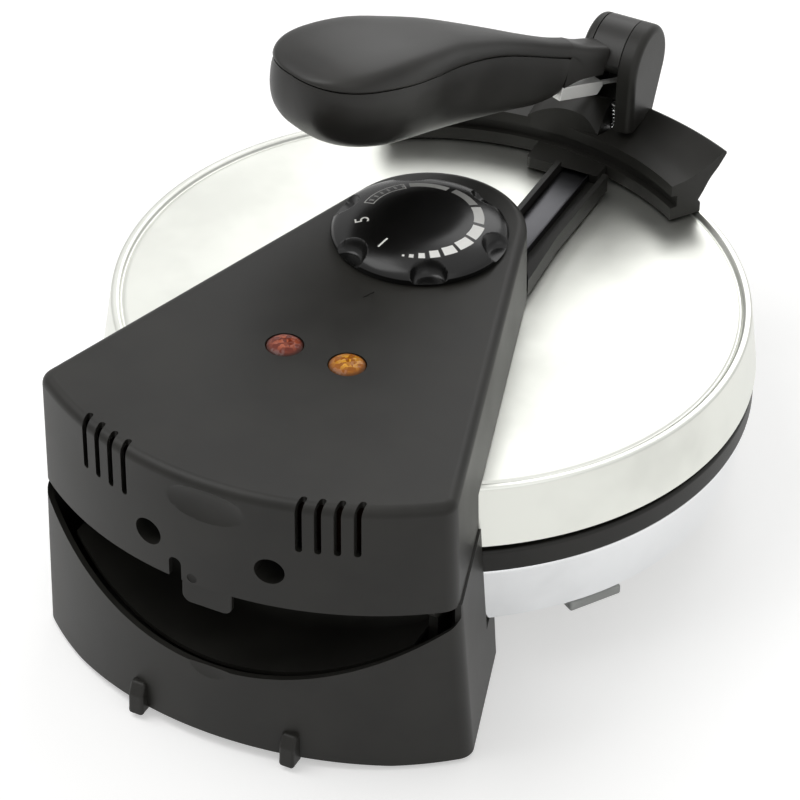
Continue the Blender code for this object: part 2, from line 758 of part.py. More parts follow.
def make_front_legs():
    top = pan_underside() - GAP
    low = TABLE_Z + PAD_HEIGHT + GAP
    pocket = PAD_HEIGHT / 2
    foot = LEG_RADIUS - LEG_TAPER
    profile = [
        (0, top),
        (LEG_RADIUS, top),
        (foot, low),
        (foot - SHEET, low),
        (foot - SHEET, low + pocket),
        (0, low + pocket),
    ]
    pad_radius = foot - SHEET - GAP
    pad = [
        (0, low + pocket - GAP),
        (pad_radius, low + pocket - GAP),
        (pad_radius, TABLE_Z + SHEET),
        (pad_radius - SHEET, TABLE_Z),
        (0, TABLE_Z),
    ]
    for side, name in ((1, "left"), (-1, "right")):
        place = (side * LEG_SPREAD, -LEG_SETBACK)
        turned("front_leg_" + name, profile, "black_plastic", SMALL_STEPS, place)
        turned("front_pad_" + name, pad, "rubber", SMALL_STEPS, place)


def make_bumpers():
    top = BASE_Z - GAP
    for side, name in ((1, "left"), (-1, "right")):
        piece = blocks(
            "side_bumper_" + name,
            [((-BUMPER_WIDTH / 2, -BUMPER_DEPTH / 2, top - BUMPER_HEIGHT),
              (BUMPER_WIDTH / 2, BUMPER_DEPTH / 2, top))],
            "grey_rubber", SHEET,
        )
        reach = math.hypot(BUMPER_X, BUMPER_Y)
        inner = RING_RADIUS - BASE_SKIRT_TAPER - BUMPER_DEPTH / 2 - GAP
        piece.location = (side * BUMPER_X * inner / reach, BUMPER_Y * inner / reach, 0)
        heading = math.atan2(BUMPER_Y, side * BUMPER_X)
        piece.rotation_euler = (0, 0, heading - math.pi / 2)


# Rear base housing
def smile_height(y):
    """Upper edge of the rear wall where the wall stands at y: the tilting housing swings just
    over it."""
    return SEAM_Z - max(y - HINGE_Y, 0) - SMILE_CLEARANCE


def smile_z(x):
    return smile_height(rear_y(x))


def make_smile_cut():
    edge = rear_outline(LOWER_SIDE_STEP, 0)[1:-1]
    smile = [(x, smile_height(y)) for x, y in edge]
    right = (smile[0][0] + CORNER_RADIUS, smile[0][1])
    left = (-right[0], right[1])
    above = SEAM_Z + OVERRUN
    outline = [(right[0], above), right, *smile, left, (left[0], above)]
    return prism("smile_cut", outline, HINGE_Y - SHEET, REAR_APEX_Y + OVERRUN, "Y")


def make_rear_housing():
    def section(z, inset=0.0):
        return at_height(block_plan(*lower_growth(z), LOWER_FRONT_Y, inset), z)

    top = SEAM_Z - GAP
    middle = (LOWER_Z + top) / 2
    body = loft("rear_base_housing", [
        section(DECK_Z - DECK_THICKNESS, WALL), section(LOWER_Z, WALL),
        section(LOWER_Z), section(middle), section(top),
        section(top, WALL), section(DECK_Z, WALL),
    ], "black_plastic")
    well = turned("base_clearance", [
        (0, SEAM_Z + STAND_HEIGHT), (LID_SKIRT_RADIUS + RUN / 2, SEAM_Z + STAND_HEIGHT),
        (LID_SKIRT_RADIUS + RUN / 2, DECK_Z), (0, DECK_Z)])
    mouth = make_smile_cut()
    arch_x = [ARCH_HALF_WIDTH * i / 6 for i in range(-6, 7)]
    arch = [(x, LOWER_Z + ARCH_RISE * (1 - (x / ARCH_HALF_WIDTH) ** 2)) for x in arch_x]
    arch += [(ARCH_HALF_WIDTH, LOWER_Z - OVERRUN), (-ARCH_HALF_WIDTH, LOWER_Z - OVERRUN)]
    arch_cut = prism("arch_cut", arch, rear_y(ARCH_HALF_WIDTH, -LOWER_REAR_LEAN) - WALL * 2,
                     REAR_APEX_Y + OVERRUN, "Y")
    cut(body, well, mouth, arch_cut)
    additions = []
    for side in (1, -1):
        additions.append(make_storage_rib(side))
        additions.append(make_base_ear(side))
        additions.append(make_pad_boss(side))
    join(body, *additions)
    pin_holes = [hinge_rod("hinge_hole", side, HINGE_PIN_RADIUS + GAP, HINGE_EAR_X - OVERRUN,
                           HINGE_EAR_X + HINGE_EAR_THICKNESS + OVERRUN / 2) for side in (1, -1)]
    pad_holes = [rod("pad_hole", SCREW_RADIUS + GAP, "Z",
                     (side * REAR_PAD_X, REAR_PAD_Y, LOWER_Z), WALL * 4, None, TINY_STEPS)
                 for side in (1, -1)]
    deck_holes = [rod("deck_hole", SCREW_RADIUS + GAP, "Z",
                      (*deck_screw_place(side), DECK_Z), WALL * 4, None, TINY_STEPS)
                  for side in (1, -1)]
    dish = make_dish("smile_dish", smile_z(0), rear_y(0, -LOWER_REAR_LEAN))
    return cut(body, *pin_holes, *pad_holes, *deck_holes, dish)


def make_dish(name, z, y):
    """An oval finger recess in the rear wall."""
    shape = bmesh.new()
    bmesh.ops.create_uvsphere(shape, u_segments=20, v_segments=10, radius=1.0)
    mesh = bpy.data.meshes.new(name)
    scale = Matrix.Diagonal((FINGER_DISH_WIDTH / 2, FINGER_DISH_DEPTH * 2, FINGER_DISH_HEIGHT / 2, 1))
    shape.transform(scale)
    shape.to_mesh(mesh)
    shape.free()
    obj = add_object(name, mesh)
    obj.location = (0, y + FINGER_DISH_DEPTH, z)
    return obj


def deck_screw_place(side):
    return side * LEG_SPREAD * 0.8, LOWER_FRONT_Y + LEG_RADIUS * 1.4


def make_storage_rib(side):
    y = rear_y(RIB_X, -LOWER_REAR_LEAN)
    top = LOWER_Z + RIB_HEIGHT
    outline = [
        (y - WALL, top), (y + RIB_DEPTH / 2, top), (y + RIB_DEPTH, top - RIB_DEPTH),
        (y + RIB_DEPTH, LOWER_Z + GAP), (y - WALL, LOWER_Z + GAP),
    ]
    x = side * RIB_X
    return prism("storage_rib", outline, x - RIB_WIDTH / 2, x + RIB_WIDTH / 2, "X")


def make_pad_boss(side):
    """A post under the deck that carries a rear pad."""
    height = DECK_Z - DECK_THICKNESS / 2 - LOWER_Z
    centre = (side * REAR_PAD_X, REAR_PAD_Y, LOWER_Z + height / 2)
    return rod("pad_boss", REAR_PAD_RADIUS, "Z", centre, height, None, SMALL_STEPS)


def make_base_ear(side):
    """Stands on the deck and holds one hinge pin."""
    radius = HINGE_EAR_RADIUS
    bottom = DECK_Z - DECK_THICKNESS / 2
    tip = arc((HINGE_Y, SEAM_Z), radius, -90, 90, 10)
    outline = tip + [
        (HINGE_Y - radius * 2.6, SEAM_Z + radius),
        (HINGE_Y - radius * 3, SEAM_Z + radius * 0.5),
        (HINGE_Y - radius * 3, bottom),
        (HINGE_Y - radius * 3 + HINGE_POST_DEPTH, bottom),
        (HINGE_Y - radius, SEAM_Z - radius * 1.6),
    ]
    low, high = sorted((side * HINGE_EAR_X, side * (HINGE_EAR_X + HINGE_EAR_THICKNESS)))
    return prism("base_ear", outline, low, high, "X")


def hinge_rod(name, side, radius, near, far, finish=None, rounding=0.0):
    centre = (side * (near + far) / 2, HINGE_Y, SEAM_Z)
    return rod(name, radius, "X", centre, far - near, finish, SMALL_STEPS, rounding)


def make_hinge_pins():
    near = HINGE_EAR_X - RUN / 2
    far = HINGE_EAR_X + 2 * HINGE_EAR_THICKNESS + RUN
    for side, name in ((1, "left"), (-1, "right")):
        hinge_rod("hinge_pin_" + name, side, HINGE_PIN_RADIUS, near, far, "plain_steel", GAP)


def make_rear_pads():
    low = TABLE_Z
    top = LOWER_Z - GAP
    peg = SCREW_RADIUS
    profile = [
        (0, top + WALL * 1.5), (peg, top + WALL * 1.5), (peg, top), (REAR_PAD_RADIUS, top),
        (REAR_PAD_RADIUS, low + SHEET / 2), (REAR_PAD_RADIUS - SHEET / 2, low), (0, low),
    ]
    for side, name in ((1, "left"), (-1, "right")):
        turned("rear_pad_" + name, profile, "rubber", SMALL_STEPS, (side * REAR_PAD_X, REAR_PAD_Y))


def make_inner_shield():
    """The scoop behind the hinge, clear of the housing that swings through it."""
    half = HINGE_EAR_X - GAP
    columns = 20
    sections = []
    for i in range(columns + 1):
        x = -half + 2 * half * i / columns
        deep = smile_z(x) - SHIELD_THICKNESS - RUN / 2
        back = rear_y(x, -LOWER_REAR_LEAN) - WALL - GAP * 2 - UPPER_REAR_LEAN
        front = SHIELD_FRONT_Y
        top = SEAM_Z - RUN
        bend = (top - deep) * 0.35
        upper = [(x, back, deep + SHIELD_THICKNESS), (x, front + bend, deep + SHIELD_THICKNESS),
                 (x, front + SHIELD_THICKNESS, deep + bend + SHIELD_THICKNESS),
                 (x, front + SHIELD_THICKNESS, top)]
        lower = [(x, front, top), (x, front, deep + bend), (x, front + bend, deep), (x, back, deep)]
        sections.append(upper + lower)
    return loft("inner_shield", sections, "black_plastic")


# Upper housing
def make_upper_housing():
    body_z = HOUSING_TOP_Z - TOP_ROUNDING
    sections = [
        at_height(wedge_plan(*upper_growth(CEILING_Z), WALL), CEILING_Z),
        at_height(wedge_plan(*upper_growth(SEAM_Z), WALL), SEAM_Z),
    ]
    for z in (SEAM_Z, 0, body_z):
        sections.append(at_height(wedge_plan(*upper_growth(z)), z))
    for i in range(1, 4):
        angle = math.radians(30 * i)
        inset = TOP_ROUNDING * (1 - math.cos(angle))
        z = body_z + TOP_ROUNDING * math.sin(angle)
        sections.append(at_height(wedge_plan(*upper_growth(z), inset), z))
    body = loft("upper_housing", sections, "black_plastic")
    join(body, *[make_screw_well(side) for side in (1, -1)], make_tongue(),
         *[make_lid_ear(side) for side in (1, -1)])
    lid_room = turned("lid_room", [
        (0, GAP), (LID_SKIRT_RADIUS + RUN / 4, GAP),
        (LID_SKIRT_RADIUS + RUN / 4, SEAM_Z * 3), (0, SEAM_Z * 3)])
    cut(body, lid_room, make_vents(), make_dish("finger_dish", HOUSING_TOP_Z * 0.87, rear_y(0)),
        make_tongue_notch(), make_strap_slot())
    for side in (1, -1):
        well = rear_y(SCREW_WELL_X) - SCREW_WELL_DEPTH
        cut(body,
            rod("well_hole", SCREW_WELL_RADIUS, "Y",
                (side * SCREW_WELL_X, well + SCREW_WELL_DEPTH, SCREW_WELL_Z),
                SCREW_WELL_DEPTH * 2, None, SMALL_STEPS),
            rod("well_screw_hole", SCREW_RADIUS + GAP, "Y",
                (side * SCREW_WELL_X, well, SCREW_WELL_Z), WALL * 4, None, TINY_STEPS),
            rod("lamp_hole", LAMP_RADIUS + GAP, "Z",
                (side * LAMP_X, LAMP_Y, HOUSING_TOP_Z), TOP_WALL * 4, None, SMALL_STEPS),
            hinge_rod("lid_ear_hole", side, HINGE_PIN_RADIUS + GAP,
                      HINGE_EAR_X + HINGE_EAR_THICKNESS,
                      HINGE_EAR_X + 2 * HINGE_EAR_THICKNESS + RUN * 2))
    shaft_hole = rod("shaft_hole", SHAFT_RADIUS + GAP * 2, "Z", (0, KNOB_Y, HOUSING_TOP_Z),
                     TOP_WALL * 4, None, SMALL_STEPS)
    return cut(body, shaft_hole)


def make_screw_well(side):
    """A blind tube behind each round hole, holding a housing screw."""
    radius = SCREW_WELL_RADIUS + WALL * 0.8
    front = rear_y(SCREW_WELL_X) - SCREW_WELL_DEPTH - WALL
    back = rear_y(SCREW_WELL_X + radius) - WALL / 2
    centre = (side * SCREW_WELL_X, (front + back) / 2, SCREW_WELL_Z)
    return rod("screw_well", radius, "Y", centre, back - front, None, SMALL_STEPS)


def make_tongue():
    """The tab that hangs from the middle of the rear wall."""
    y = rear_y(0, -UPPER_REAR_LEAN)
    return blocks("rear_tongue", [((-TONGUE_WIDTH / 2, y - WALL, SEAM_Z - TONGUE_DROP),
                                   (TONGUE_WIDTH / 2, y - GAP, SEAM_Z + WALL))], None, SHEET / 2)


def make_tongue_notch():
    y = rear_y(0)
    x = TONGUE_WIDTH / 2
    return blocks("tongue_notch", [((x + GAP, y - WALL * 4, SEAM_Z - OVERRUN),
                                    (x + TONGUE_NOTCH, y + OVERRUN, SEAM_Z + TONGUE_NOTCH * 1.75))])


def make_lid_ear(side):
    """Hangs inside the upper housing beside the base's ear."""
    radius = HINGE_EAR_RADIUS
    near = HINGE_EAR_X + HINGE_EAR_THICKNESS + GAP * 2
    tip = arc((HINGE_Y, SEAM_Z), radius, -180, 0, 10)
    outline = tip + [(HINGE_Y + radius, SEAM_Z + radius * 4), (HINGE_Y - radius, SEAM_Z + radius * 4)]
    low, high = sorted((side * near, side * (near + HINGE_EAR_THICKNESS)))
    ear = prism("lid_ear", outline, low, high, "X")
    reach = side_x(HINGE_Y) - WALL / 2
    low, high = sorted((side * (near + HINGE_EAR_THICKNESS / 2), side * reach))
    web = blocks("lid_ear_web", [((low, HINGE_Y - radius * 0.8, SEAM_Z + radius * 0.5),
                                  (high, HINGE_Y + radius * 0.2, SEAM_Z + radius * 3.4))])
    return join(ear, web)


def make_vents():
    corners = []
    for i in range(VENT_COUNT):
        x = VENT_FIRST_X + i * VENT_PITCH
        y = rear_y(x)
        for side in (1, -1):
            corners.append((
                (side * x - VENT_WIDTH / 2, y - VENT_REACH, HOUSING_TOP_Z - VENT_DROP),
                (side * x + VENT_WIDTH / 2, y + OVERRUN, HOUSING_TOP_Z + OVERRUN),
            ))
    return blocks("vent_cuts", corners)


def make_strap_slot():
    half = STRAP_WIDTH / 2 + GAP * 2
    return blocks("strap_slot", [((STRAP_X - half, -HOUSING_HALF_WIDTH * 1.3, 0),
                                  (STRAP_X + half, 0, STRAP_Z + STRAP_THICKNESS + STRAP_RAIL + GAP * 2))])


def make_housing_cover():
    """A plate that closes the underside of the upper housing behind the lid."""
    low = SEAM_Z + COVER_RISE
    high = low + COVER_THICKNESS
    side, rear = upper_growth(low)
    outline = wedge_plan(side, rear, WALL + GAP * 2)
    plate = prism("housing_cover", outline, low, high, "Z", "plain_steel")
    lid_side = turned("cover_lid_room", [
        (0, high + OVERRUN), (LID_SKIRT_RADIUS + RUN, high + OVERRUN),
        (LID_SKIRT_RADIUS + RUN, low - OVERRUN), (0, low - OVERRUN)])
    rooms = []
    radius = HINGE_EAR_RADIUS
    depth = SCREW_WELL_DEPTH + WALL * 2
    for side in (1, -1):
        near = HINGE_EAR_X + HINGE_EAR_THICKNESS
        low_x, high_x = sorted((side * near, side * near * 1.4))
        rooms.append(((low_x, HINGE_Y - radius - GAP * 2, low - OVERRUN),
                      (high_x, HINGE_Y + radius * 3, high + OVERRUN)))
        x = side * SCREW_WELL_X
        half = SCREW_WELL_RADIUS + WALL
        rooms.append(((x - half, rear_y(SCREW_WELL_X) - depth, low - OVERRUN),
                      (x + half, REAR_APEX_Y + OVERRUN, high + OVERRUN)))
    return cut(plate, lid_side, blocks("cover_rooms", rooms))


def screw(name, axis, centre, length, head_up=True):
    """A pan-head screw whose head's underside is at its origin."""
    head = SCREW_HEAD_RADIUS
    profile = [
        (0, SCREW_HEAD_HEIGHT), (head * 0.6, SCREW_HEAD_HEIGHT), (head, SCREW_HEAD_HEIGHT * 0.5),
        (head, 0), (SCREW_RADIUS, 0), (SCREW_RADIUS, -length), (0, -length),
    ]
    if not head_up:
        profile = [(radius, -height) for radius, height in reversed(profile)]
    return lie_along(turned(name, profile, "plain_steel", TINY_STEPS), axis, centre)


def make_screws():
    y = rear_y(SCREW_WELL_X) - SCREW_WELL_DEPTH
    under = DECK_Z - DECK_THICKNESS - GAP
    for side, name in ((1, "left"), (-1, "right")):
        screw("housing_screw_" + name, "Y", (side * SCREW_WELL_X, y + GAP, SCREW_WELL_Z), WALL * 2)
        x, place_y = deck_screw_place(side)
        screw("deck_screw_" + name, "Z", (x, place_y, under), DECK_THICKNESS - GAP, False)


# Knob, thermostat and lamps
def make_knob():
    low = HOUSING_TOP_Z + KNOB_LIFT
    edge = low + KNOB_EDGE_HEIGHT
    dome = low + KNOB_DOME_HEIGHT
    rise = KNOB_DOME_HEIGHT - KNOB_EDGE_HEIGHT
    profile = [
        (0, dome),
        (KNOB_RADIUS * 0.50, dome - rise * 0.06),
        (KNOB_RADIUS * 0.72, dome - rise * 0.28),
        (KNOB_RADIUS * 0.90, edge + rise * 0.30),
        (KNOB_RADIUS * 0.98, edge - rise * 0.20),
        (KNOB_RADIUS, edge - KNOB_EDGE_HEIGHT / 2),
        (KNOB_RADIUS - SHEET / 2, low),
        (0, low),
    ]
    knob = turned("control_knob", profile, "knob_plastic", KNOB_STEPS, (0, KNOB_Y))
    for i in range(NOTCH_COUNT):
        angle = math.radians(NOTCH_FIRST_ANGLE + 360 / NOTCH_COUNT * i)
        reach = KNOB_RADIUS + NOTCH_SHIFT
        place = (reach * math.cos(angle), KNOB_Y + reach * math.sin(angle),
                 low + NOTCH_FLOOR + KNOB_DOME_HEIGHT / 2)
        cut(knob, rod("knob_notch", NOTCH_RADIUS, "Z", place, KNOB_DOME_HEIGHT, None, SMALL_STEPS))
    socket = rod("knob_socket", SHAFT_RADIUS + GAP, "Z", (0, KNOB_Y, low),
                 2 * (shaft_top() + GAP - low), None, SMALL_STEPS)
    return cut(knob, socket)


def shaft_top():
    return HOUSING_TOP_Z + KNOB_LIFT + KNOB_DOME_HEIGHT * 0.75


def make_thermostat():
    top = CEILING_Z - GAP
    shoulder = top - BUSH_LENGTH
    bottom = shoulder - THERMOSTAT_HEIGHT
    bore = SHAFT_RADIUS + GAP
    shaft_bottom = shaft_top() - SHAFT_LENGTH
    profile = [
        (0, shaft_bottom - GAP), (bore, shaft_bottom - GAP), (bore, top), (BUSH_RADIUS, top),
        (BUSH_RADIUS, shoulder), (THERMOSTAT_RADIUS, shoulder), (THERMOSTAT_RADIUS, bottom),
        (0, bottom),
    ]
    turned("thermostat", profile, "switch_body", SMALL_STEPS, (0, KNOB_Y))
    centre = (0, KNOB_Y, (shaft_top() + shaft_bottom) / 2)
    rod("knob_shaft", SHAFT_RADIUS, "Z", centre, SHAFT_LENGTH, "plain_steel", TINY_STEPS, GAP)


def make_lamps():
    top = HOUSING_TOP_Z
    flange_top = CEILING_Z - GAP
    foot = flange_top - LAMP_FLANGE
    lens = [
        (0, top + LAMP_DOME), (LAMP_RADIUS * 0.45, top + LAMP_DOME * 0.86),
        (LAMP_RADIUS * 0.8, top + LAMP_DOME * 0.42), (LAMP_RADIUS, top - LAMP_DOME * 0.2),
        (LAMP_RADIUS, flange_top), (LAMP_RADIUS + LAMP_FLANGE, flange_top),
        (LAMP_RADIUS + LAMP_FLANGE, foot), (0, foot),
    ]
    for side, name, finish in ((1, "power", "red_lens"), (-1, "ready", "amber_lens")):
        place = (side * LAMP_X, LAMP_Y)
        turned("lamp_lens_" + name, lens, finish, SMALL_STEPS, place)
        centre = (*place, foot - GAP - LAMP_BODY_LENGTH / 2)
        rod("lamp_body_" + name, LAMP_BODY_RADIUS, "Z", centre, LAMP_BODY_LENGTH, "lamp_body",
            TINY_STEPS, GAP)


# Spine, strap and front bracket
def make_spine():
    front = tab_edge_y() + GAP
    half = SPINE_WIDTH / 2
    left = SPINE_X + half
    right = SPINE_X - half
    bend = -HOUSING_HALF_WIDTH * 1.25
    outline = [(right, front), (left, front), (left, 0), (right - SPINE_FLARE, 0), (right, bend)]
    body = prism("spine_channel", outline, GAP, SPINE_HEIGHT, "Z", "black_plastic")
    channel = blocks("spine_groove", [((right + SPINE_WALL, front - OVERRUN, GAP + SPINE_FLOOR),
                                       (left - SPINE_WALL, 0, SPINE_HEIGHT + OVERRUN))])
    room = prism("nose_room", wedge_plan(*upper_growth(0), -GAP), -OVERRUN, SPINE_HEIGHT + OVERRUN)
    return cut(body, channel, room)


def make_strap():
    front = tab_edge_y() - FLANGE_HEIGHT
    rear = -HOUSING_HALF_WIDTH * 0.3
    half = STRAP_WIDTH / 2
    rail = STRAP_RAIL
    outline = [
        (-half, 0), (half, 0), (half, STRAP_THICKNESS), (rail - half, STRAP_THICKNESS),
        (rail / 2 - half, STRAP_THICKNESS + rail), (-half, STRAP_THICKNESS + rail),
    ]
    outline = [(STRAP_X + x, STRAP_Z + z) for x, z in outline]
    return prism("pressure_strap", outline, front, rear, "Y", "polished_steel")


def tab_edge_y():
    return -(BRACKET_RADIUS - TAB_REACH)


def bracket_profile(rise):
    outer = BRACKET_RADIUS + FLANGE_REACH
    inner = BRACKET_RADIUS
    wing_top = WING_BOTTOM + WING_LIP
    round_off = FLANGE_HEIGHT / 4
    top = [(inner + WING_REACH * r, wing_top + rise * z) for r, z in WING_TOP_SHARES]
    under = [(inner + WING_REACH * r, wing_top + rise * z) for r, z in WING_UNDER_SHARES]
    return (
        [(inner, GAP), (inner, FLANGE_HEIGHT), (inner + GROOVE_DEPTH, FLANGE_HEIGHT + GAP),
         (inner + GROOVE_DEPTH, WING_BOTTOM - GAP), (inner, WING_BOTTOM)]
        + top + under
        + [(outer - round_off, FLANGE_HEIGHT), (outer, FLANGE_HEIGHT - round_off), (outer, GAP)]
    )


def bracket_sections():
    sections = []
    for i in range(BRACKET_STEPS + 1):
        share = 2 * i / BRACKET_STEPS - 1
        rise = WING_RISE * (WING_CENTRE_SHARE + (1 - WING_CENTRE_SHARE) * share**2)
        angle = math.radians(-90 + BRACKET_HALF_ANGLE * share)
        sections.append([
            (r * math.cos(angle), r * math.sin(angle), z) for r, z in bracket_profile(rise)
        ])
    return sections


def boss_sections():
    low = WING_BOTTOM + GAP
    sections = []
    for depth, crest in BOSS_SHARES:
        y = BOSS_FACE_Y - BOSS_DEPTH * depth
        top = [(BOSS_LEFT_X + (BOSS_RIGHT_X - BOSS_LEFT_X) * across, y, YOKE_SEAT_Z + BOSS_RISE * rise)
               for across, rise in crest]
        sections.append([(BOSS_LEFT_X, y, low)] + top + [(BOSS_RIGHT_X, y, low)])
    return sections


def make_bracket():
    body = loft("front_bracket", bracket_sections(), "black_plastic")
    tab = blocks("bracket_tab", [((TAB_RIGHT_X, -BRACKET_RADIUS - FLANGE_REACH / 4, GAP * 2),
                                  (TAB_LEFT_X, tab_edge_y(), FLANGE_HEIGHT - GAP))])
    join(body, tab, loft("bracket_boss", boss_sections()))
    high = PIVOT_Z
    seat = blocks("yoke_seat", [
        ((YOKE_RIGHT_X - GAP, FRONT_REACH_Y - OVERRUN, YOKE_SEAT_Z),
         (YOKE_LEFT_X + GAP, foot_back_y() + GAP, high))])
    back = boss_back_y()
    wide = BOSS_RIGHT_X - POCKET_WIDTH
    pocket = prism("spring_pocket", [
        (BOSS_RIGHT_X + GAP / 2, BOSS_FACE_Y + GAP), (wide, back), (wide, foot_back_y()),
        (BOSS_RIGHT_X + GAP / 2, foot_back_y())], POCKET_FLOOR, high)
    half = STRAP_WIDTH / 2 + GAP
    strap_end = blocks("strap_end_slot", [
        ((STRAP_X - half, tab_edge_y() - FLANGE_HEIGHT - GAP * 2, STRAP_Z - GAP),
         (STRAP_X + half, tab_edge_y() + OVERRUN, STRAP_Z + STRAP_THICKNESS + STRAP_RAIL + GAP))])
    return cut(body, seat, pocket, make_hub_room("bracket_hub_room"), strap_end)


def boss_back_y():
    return BOSS_FACE_Y - BOSS_DEPTH


def foot_back_y():
    return boss_back_y() - GAP


# Pivot and handle
def ear_outline(inset=0.0):
    """A round head on a tapering leg whose back is straight."""
    radius = EAR_RADIUS - inset
    back = foot_back_y() - GAP - inset
    bottom = YOKE_SEAT_Z + GAP
    head = arc((PIVOT_Y, PIVOT_Z), radius, 30, 212, 18)
    return head + [
        (foot_back_y() - EAR_FOOT_DEPTH + inset, bottom),
        (back, bottom),
        (back, PIVOT_Z - HUB_BOSS_RADIUS / 2),
        (PIVOT_Y + radius * 0.62, PIVOT_Z + radius * 0.22),
    ]


def make_ear(name, inner, outer, finish=None):
    """An ear whose outer face is rounded over. Its outlines run from the inner face outwards."""
    way = math.copysign(1, outer - inner)
    levels = [(inner, 0.0), (outer - way * EAR_ROUNDING, 0.0)]
    for i in range(1, 4):
        angle = math.radians(30 * i)
        levels.append((outer - way * EAR_ROUNDING * (1 - math.sin(angle)),
                       EAR_ROUNDING * (1 - math.cos(angle))))
    return loft(name, [[(x, y, z) for y, z in ear_outline(inset)] for x, inset in levels], finish)


def make_yoke():
    right_inner = YOKE_RIGHT_X + RIGHT_EAR_THICKNESS
    left_inner = YOKE_LEFT_X - LEFT_EAR_THICKNESS
    body = make_ear("pivot_yoke", right_inner, YOKE_RIGHT_X, "black_plastic")
    left = make_ear("yoke_left_ear", left_inner, YOKE_LEFT_X)
    bottom = YOKE_SEAT_Z + GAP
    base = blocks("yoke_base", [
        ((right_inner - WALL, foot_back_y() - EAR_FOOT_DEPTH + GAP, bottom + GAP),
         (left_inner + GAP * 2, foot_back_y() - GAP * 2, bottom + YOKE_BASE_HEIGHT))])
    join(body, left, base)
    bore = rod("pivot_hole", PIVOT_PIN_RADIUS + GAP, "X", hub_centre(), pin_length() + GAP * 2,
               None, TINY_STEPS)
    return cut(body, bore, make_hub_room("yoke_hub_room"))


def hub_left():
    return YOKE_LEFT_X - LEFT_EAR_THICKNESS - GAP


def hub_right():
    return YOKE_RIGHT_X + RIGHT_EAR_THICKNESS + GAP


def hub_centre():
    return ((hub_left() + hub_right()) / 2, PIVOT_Y, PIVOT_Z)


def pin_length():
    return hub_left() - hub_right() + 2 * GAP + LEFT_EAR_THICKNESS * 1.3


def make_hub_room(name):
    return rod(name, EAR_RADIUS + GAP, "X", hub_centre(), hub_left() - hub_right() + GAP * 2,
               None, HUB_STEPS)


def make_hub():
    rod("pivot_pin", PIVOT_PIN_RADIUS, "X", hub_centre(), pin_length(), "plain_steel",
        TINY_STEPS, GAP)
    centre = (PIVOT_Y, PIVOT_Z)
    outline = arc(centre, EAR_RADIUS, HUB_OPEN_ANGLE, HUB_CLOSE_ANGLE, 24)
    outline += arc(centre, HUB_BOSS_RADIUS, HUB_CLOSE_ANGLE, 360 + HUB_OPEN_ANGLE, 10)
    hub = prism("handle_hub", outline, hub_right(), hub_left(), "X", "black_plastic")
    bore = rod("hub_bore", PIVOT_PIN_RADIUS + GAP, "X", hub_centre(), HANDLE_WIDTH, None,
               TINY_STEPS)
    return cut(hub, bore)


def handle_pose():
    x, y, z = hub_centre()
    place = Matrix.Translation((x + HANDLE_SHIFT, y, z + HANDLE_LIFT))
    skew = Matrix.Rotation(math.radians(-HANDLE_SKEW), 4, "Z")
    slope = Matrix.Rotation(math.radians(HANDLE_SLOPE), 4, "X")
    return place @ skew @ slope


def handle_stations():
    """Length along, half width, sway, crown, belly and seam height at each station."""
    return [
        (HANDLE_LENGTH * along, HANDLE_WIDTH / 2 * width, HANDLE_SWAY * sway,
         HANDLE_CROWN * crown, HANDLE_BELLY * belly, HANDLE_SEAM * seam)
        for along, width, sway, crown, belly, seam in HANDLE_SHARES
    ]


def half_ring(station, shares, seam, peak):
    """Points from the right side over the peak to the left side. A share of 1 is the peak."""
    y, half, sway = station[:3]
    right = [(sway - half * across, y, seam + (peak - seam) * rise) for across, rise in shares]
    left = [(2 * sway - x, y, z) for x, y, z in reversed(right[:-1])]
    return right + left


def top_section(station, inset=0.0):
    y, half, sway, crown, belly, seam = station
    slim = (y, half - inset, sway)
    return half_ring(slim, ((1.0, 0.0),) + CROWN_SHARES, seam, crown - inset)


def lower_section(station, inset=0.0):
    y, half, sway, crown, belly, seam = station
    slim = (y, half - inset, sway)
    return half_ring(slim, ((1.0, 0.0),) + BELLY_SHARES, seam - GAP * 2, inset - belly)


def neck_section(y, sway, half, crown, belly):
    return half_ring((y, half, sway), NECK_SHARES, -belly, crown)


def set_on_handle(*pieces):
    for piece in pieces:
        piece.matrix_local = handle_pose()


def make_handle_top():
    stations = handle_stations()
    shell = loft("handle_top_shell", [top_section(s) for s in stations], "black_plastic")
    inner = []
    for station in stations[3:-2]:
        y, half, sway, crown, belly, seam = station
        low = (y, half, sway, crown, belly, seam - OVERRUN)
        inner.append(top_section(low, HANDLE_WALL))
    hollow = loft("handle_top_hollow", inner)
    first = stations[0]
    half = NECK_WIDTH / 2
    neck = loft("handle_neck", [
        neck_section(EAR_RADIUS * 0.8, first[2], half * 1.1, NECK_CROWN * 0.9, NECK_BELLY * 0.8),
        neck_section(first[0] * 0.8, first[2], half, NECK_CROWN, NECK_BELLY),
        neck_section(NECK_LENGTH, first[2], first[1] * 1.04, first[3] * 0.97, NECK_BELLY * 1.5),
    ])
    set_on_handle(shell, hollow, neck)
    cut(shell, hollow)
    join(shell, neck)
    return cut(shell, make_neck_room())


def make_neck_room():
    return rod("neck_hub_room", EAR_RADIUS + GAP, "X", hub_centre(), HANDLE_WIDTH * 2, None,
               HUB_STEPS)


def make_handle_bottom():
    stations = handle_stations()
    start = (NECK_LENGTH + GAP, *stations[0][1:])
    outer = [start] + [s for s in stations[1:]]
    shell = loft("handle_lower_shell", [lower_section(s) for s in outer], "black_plastic")
    inner = []
    for station in outer[1:-3]:
        y, half, sway, crown, belly, seam = station
        high = (y, half, sway, crown, belly, seam + OVERRUN)
        inner.append(lower_section(high, min(HANDLE_WALL, half * 0.5)))
    hollow = loft("handle_lower_hollow", inner)
    set_on_handle(shell, hollow)
    return cut(shell, hollow)


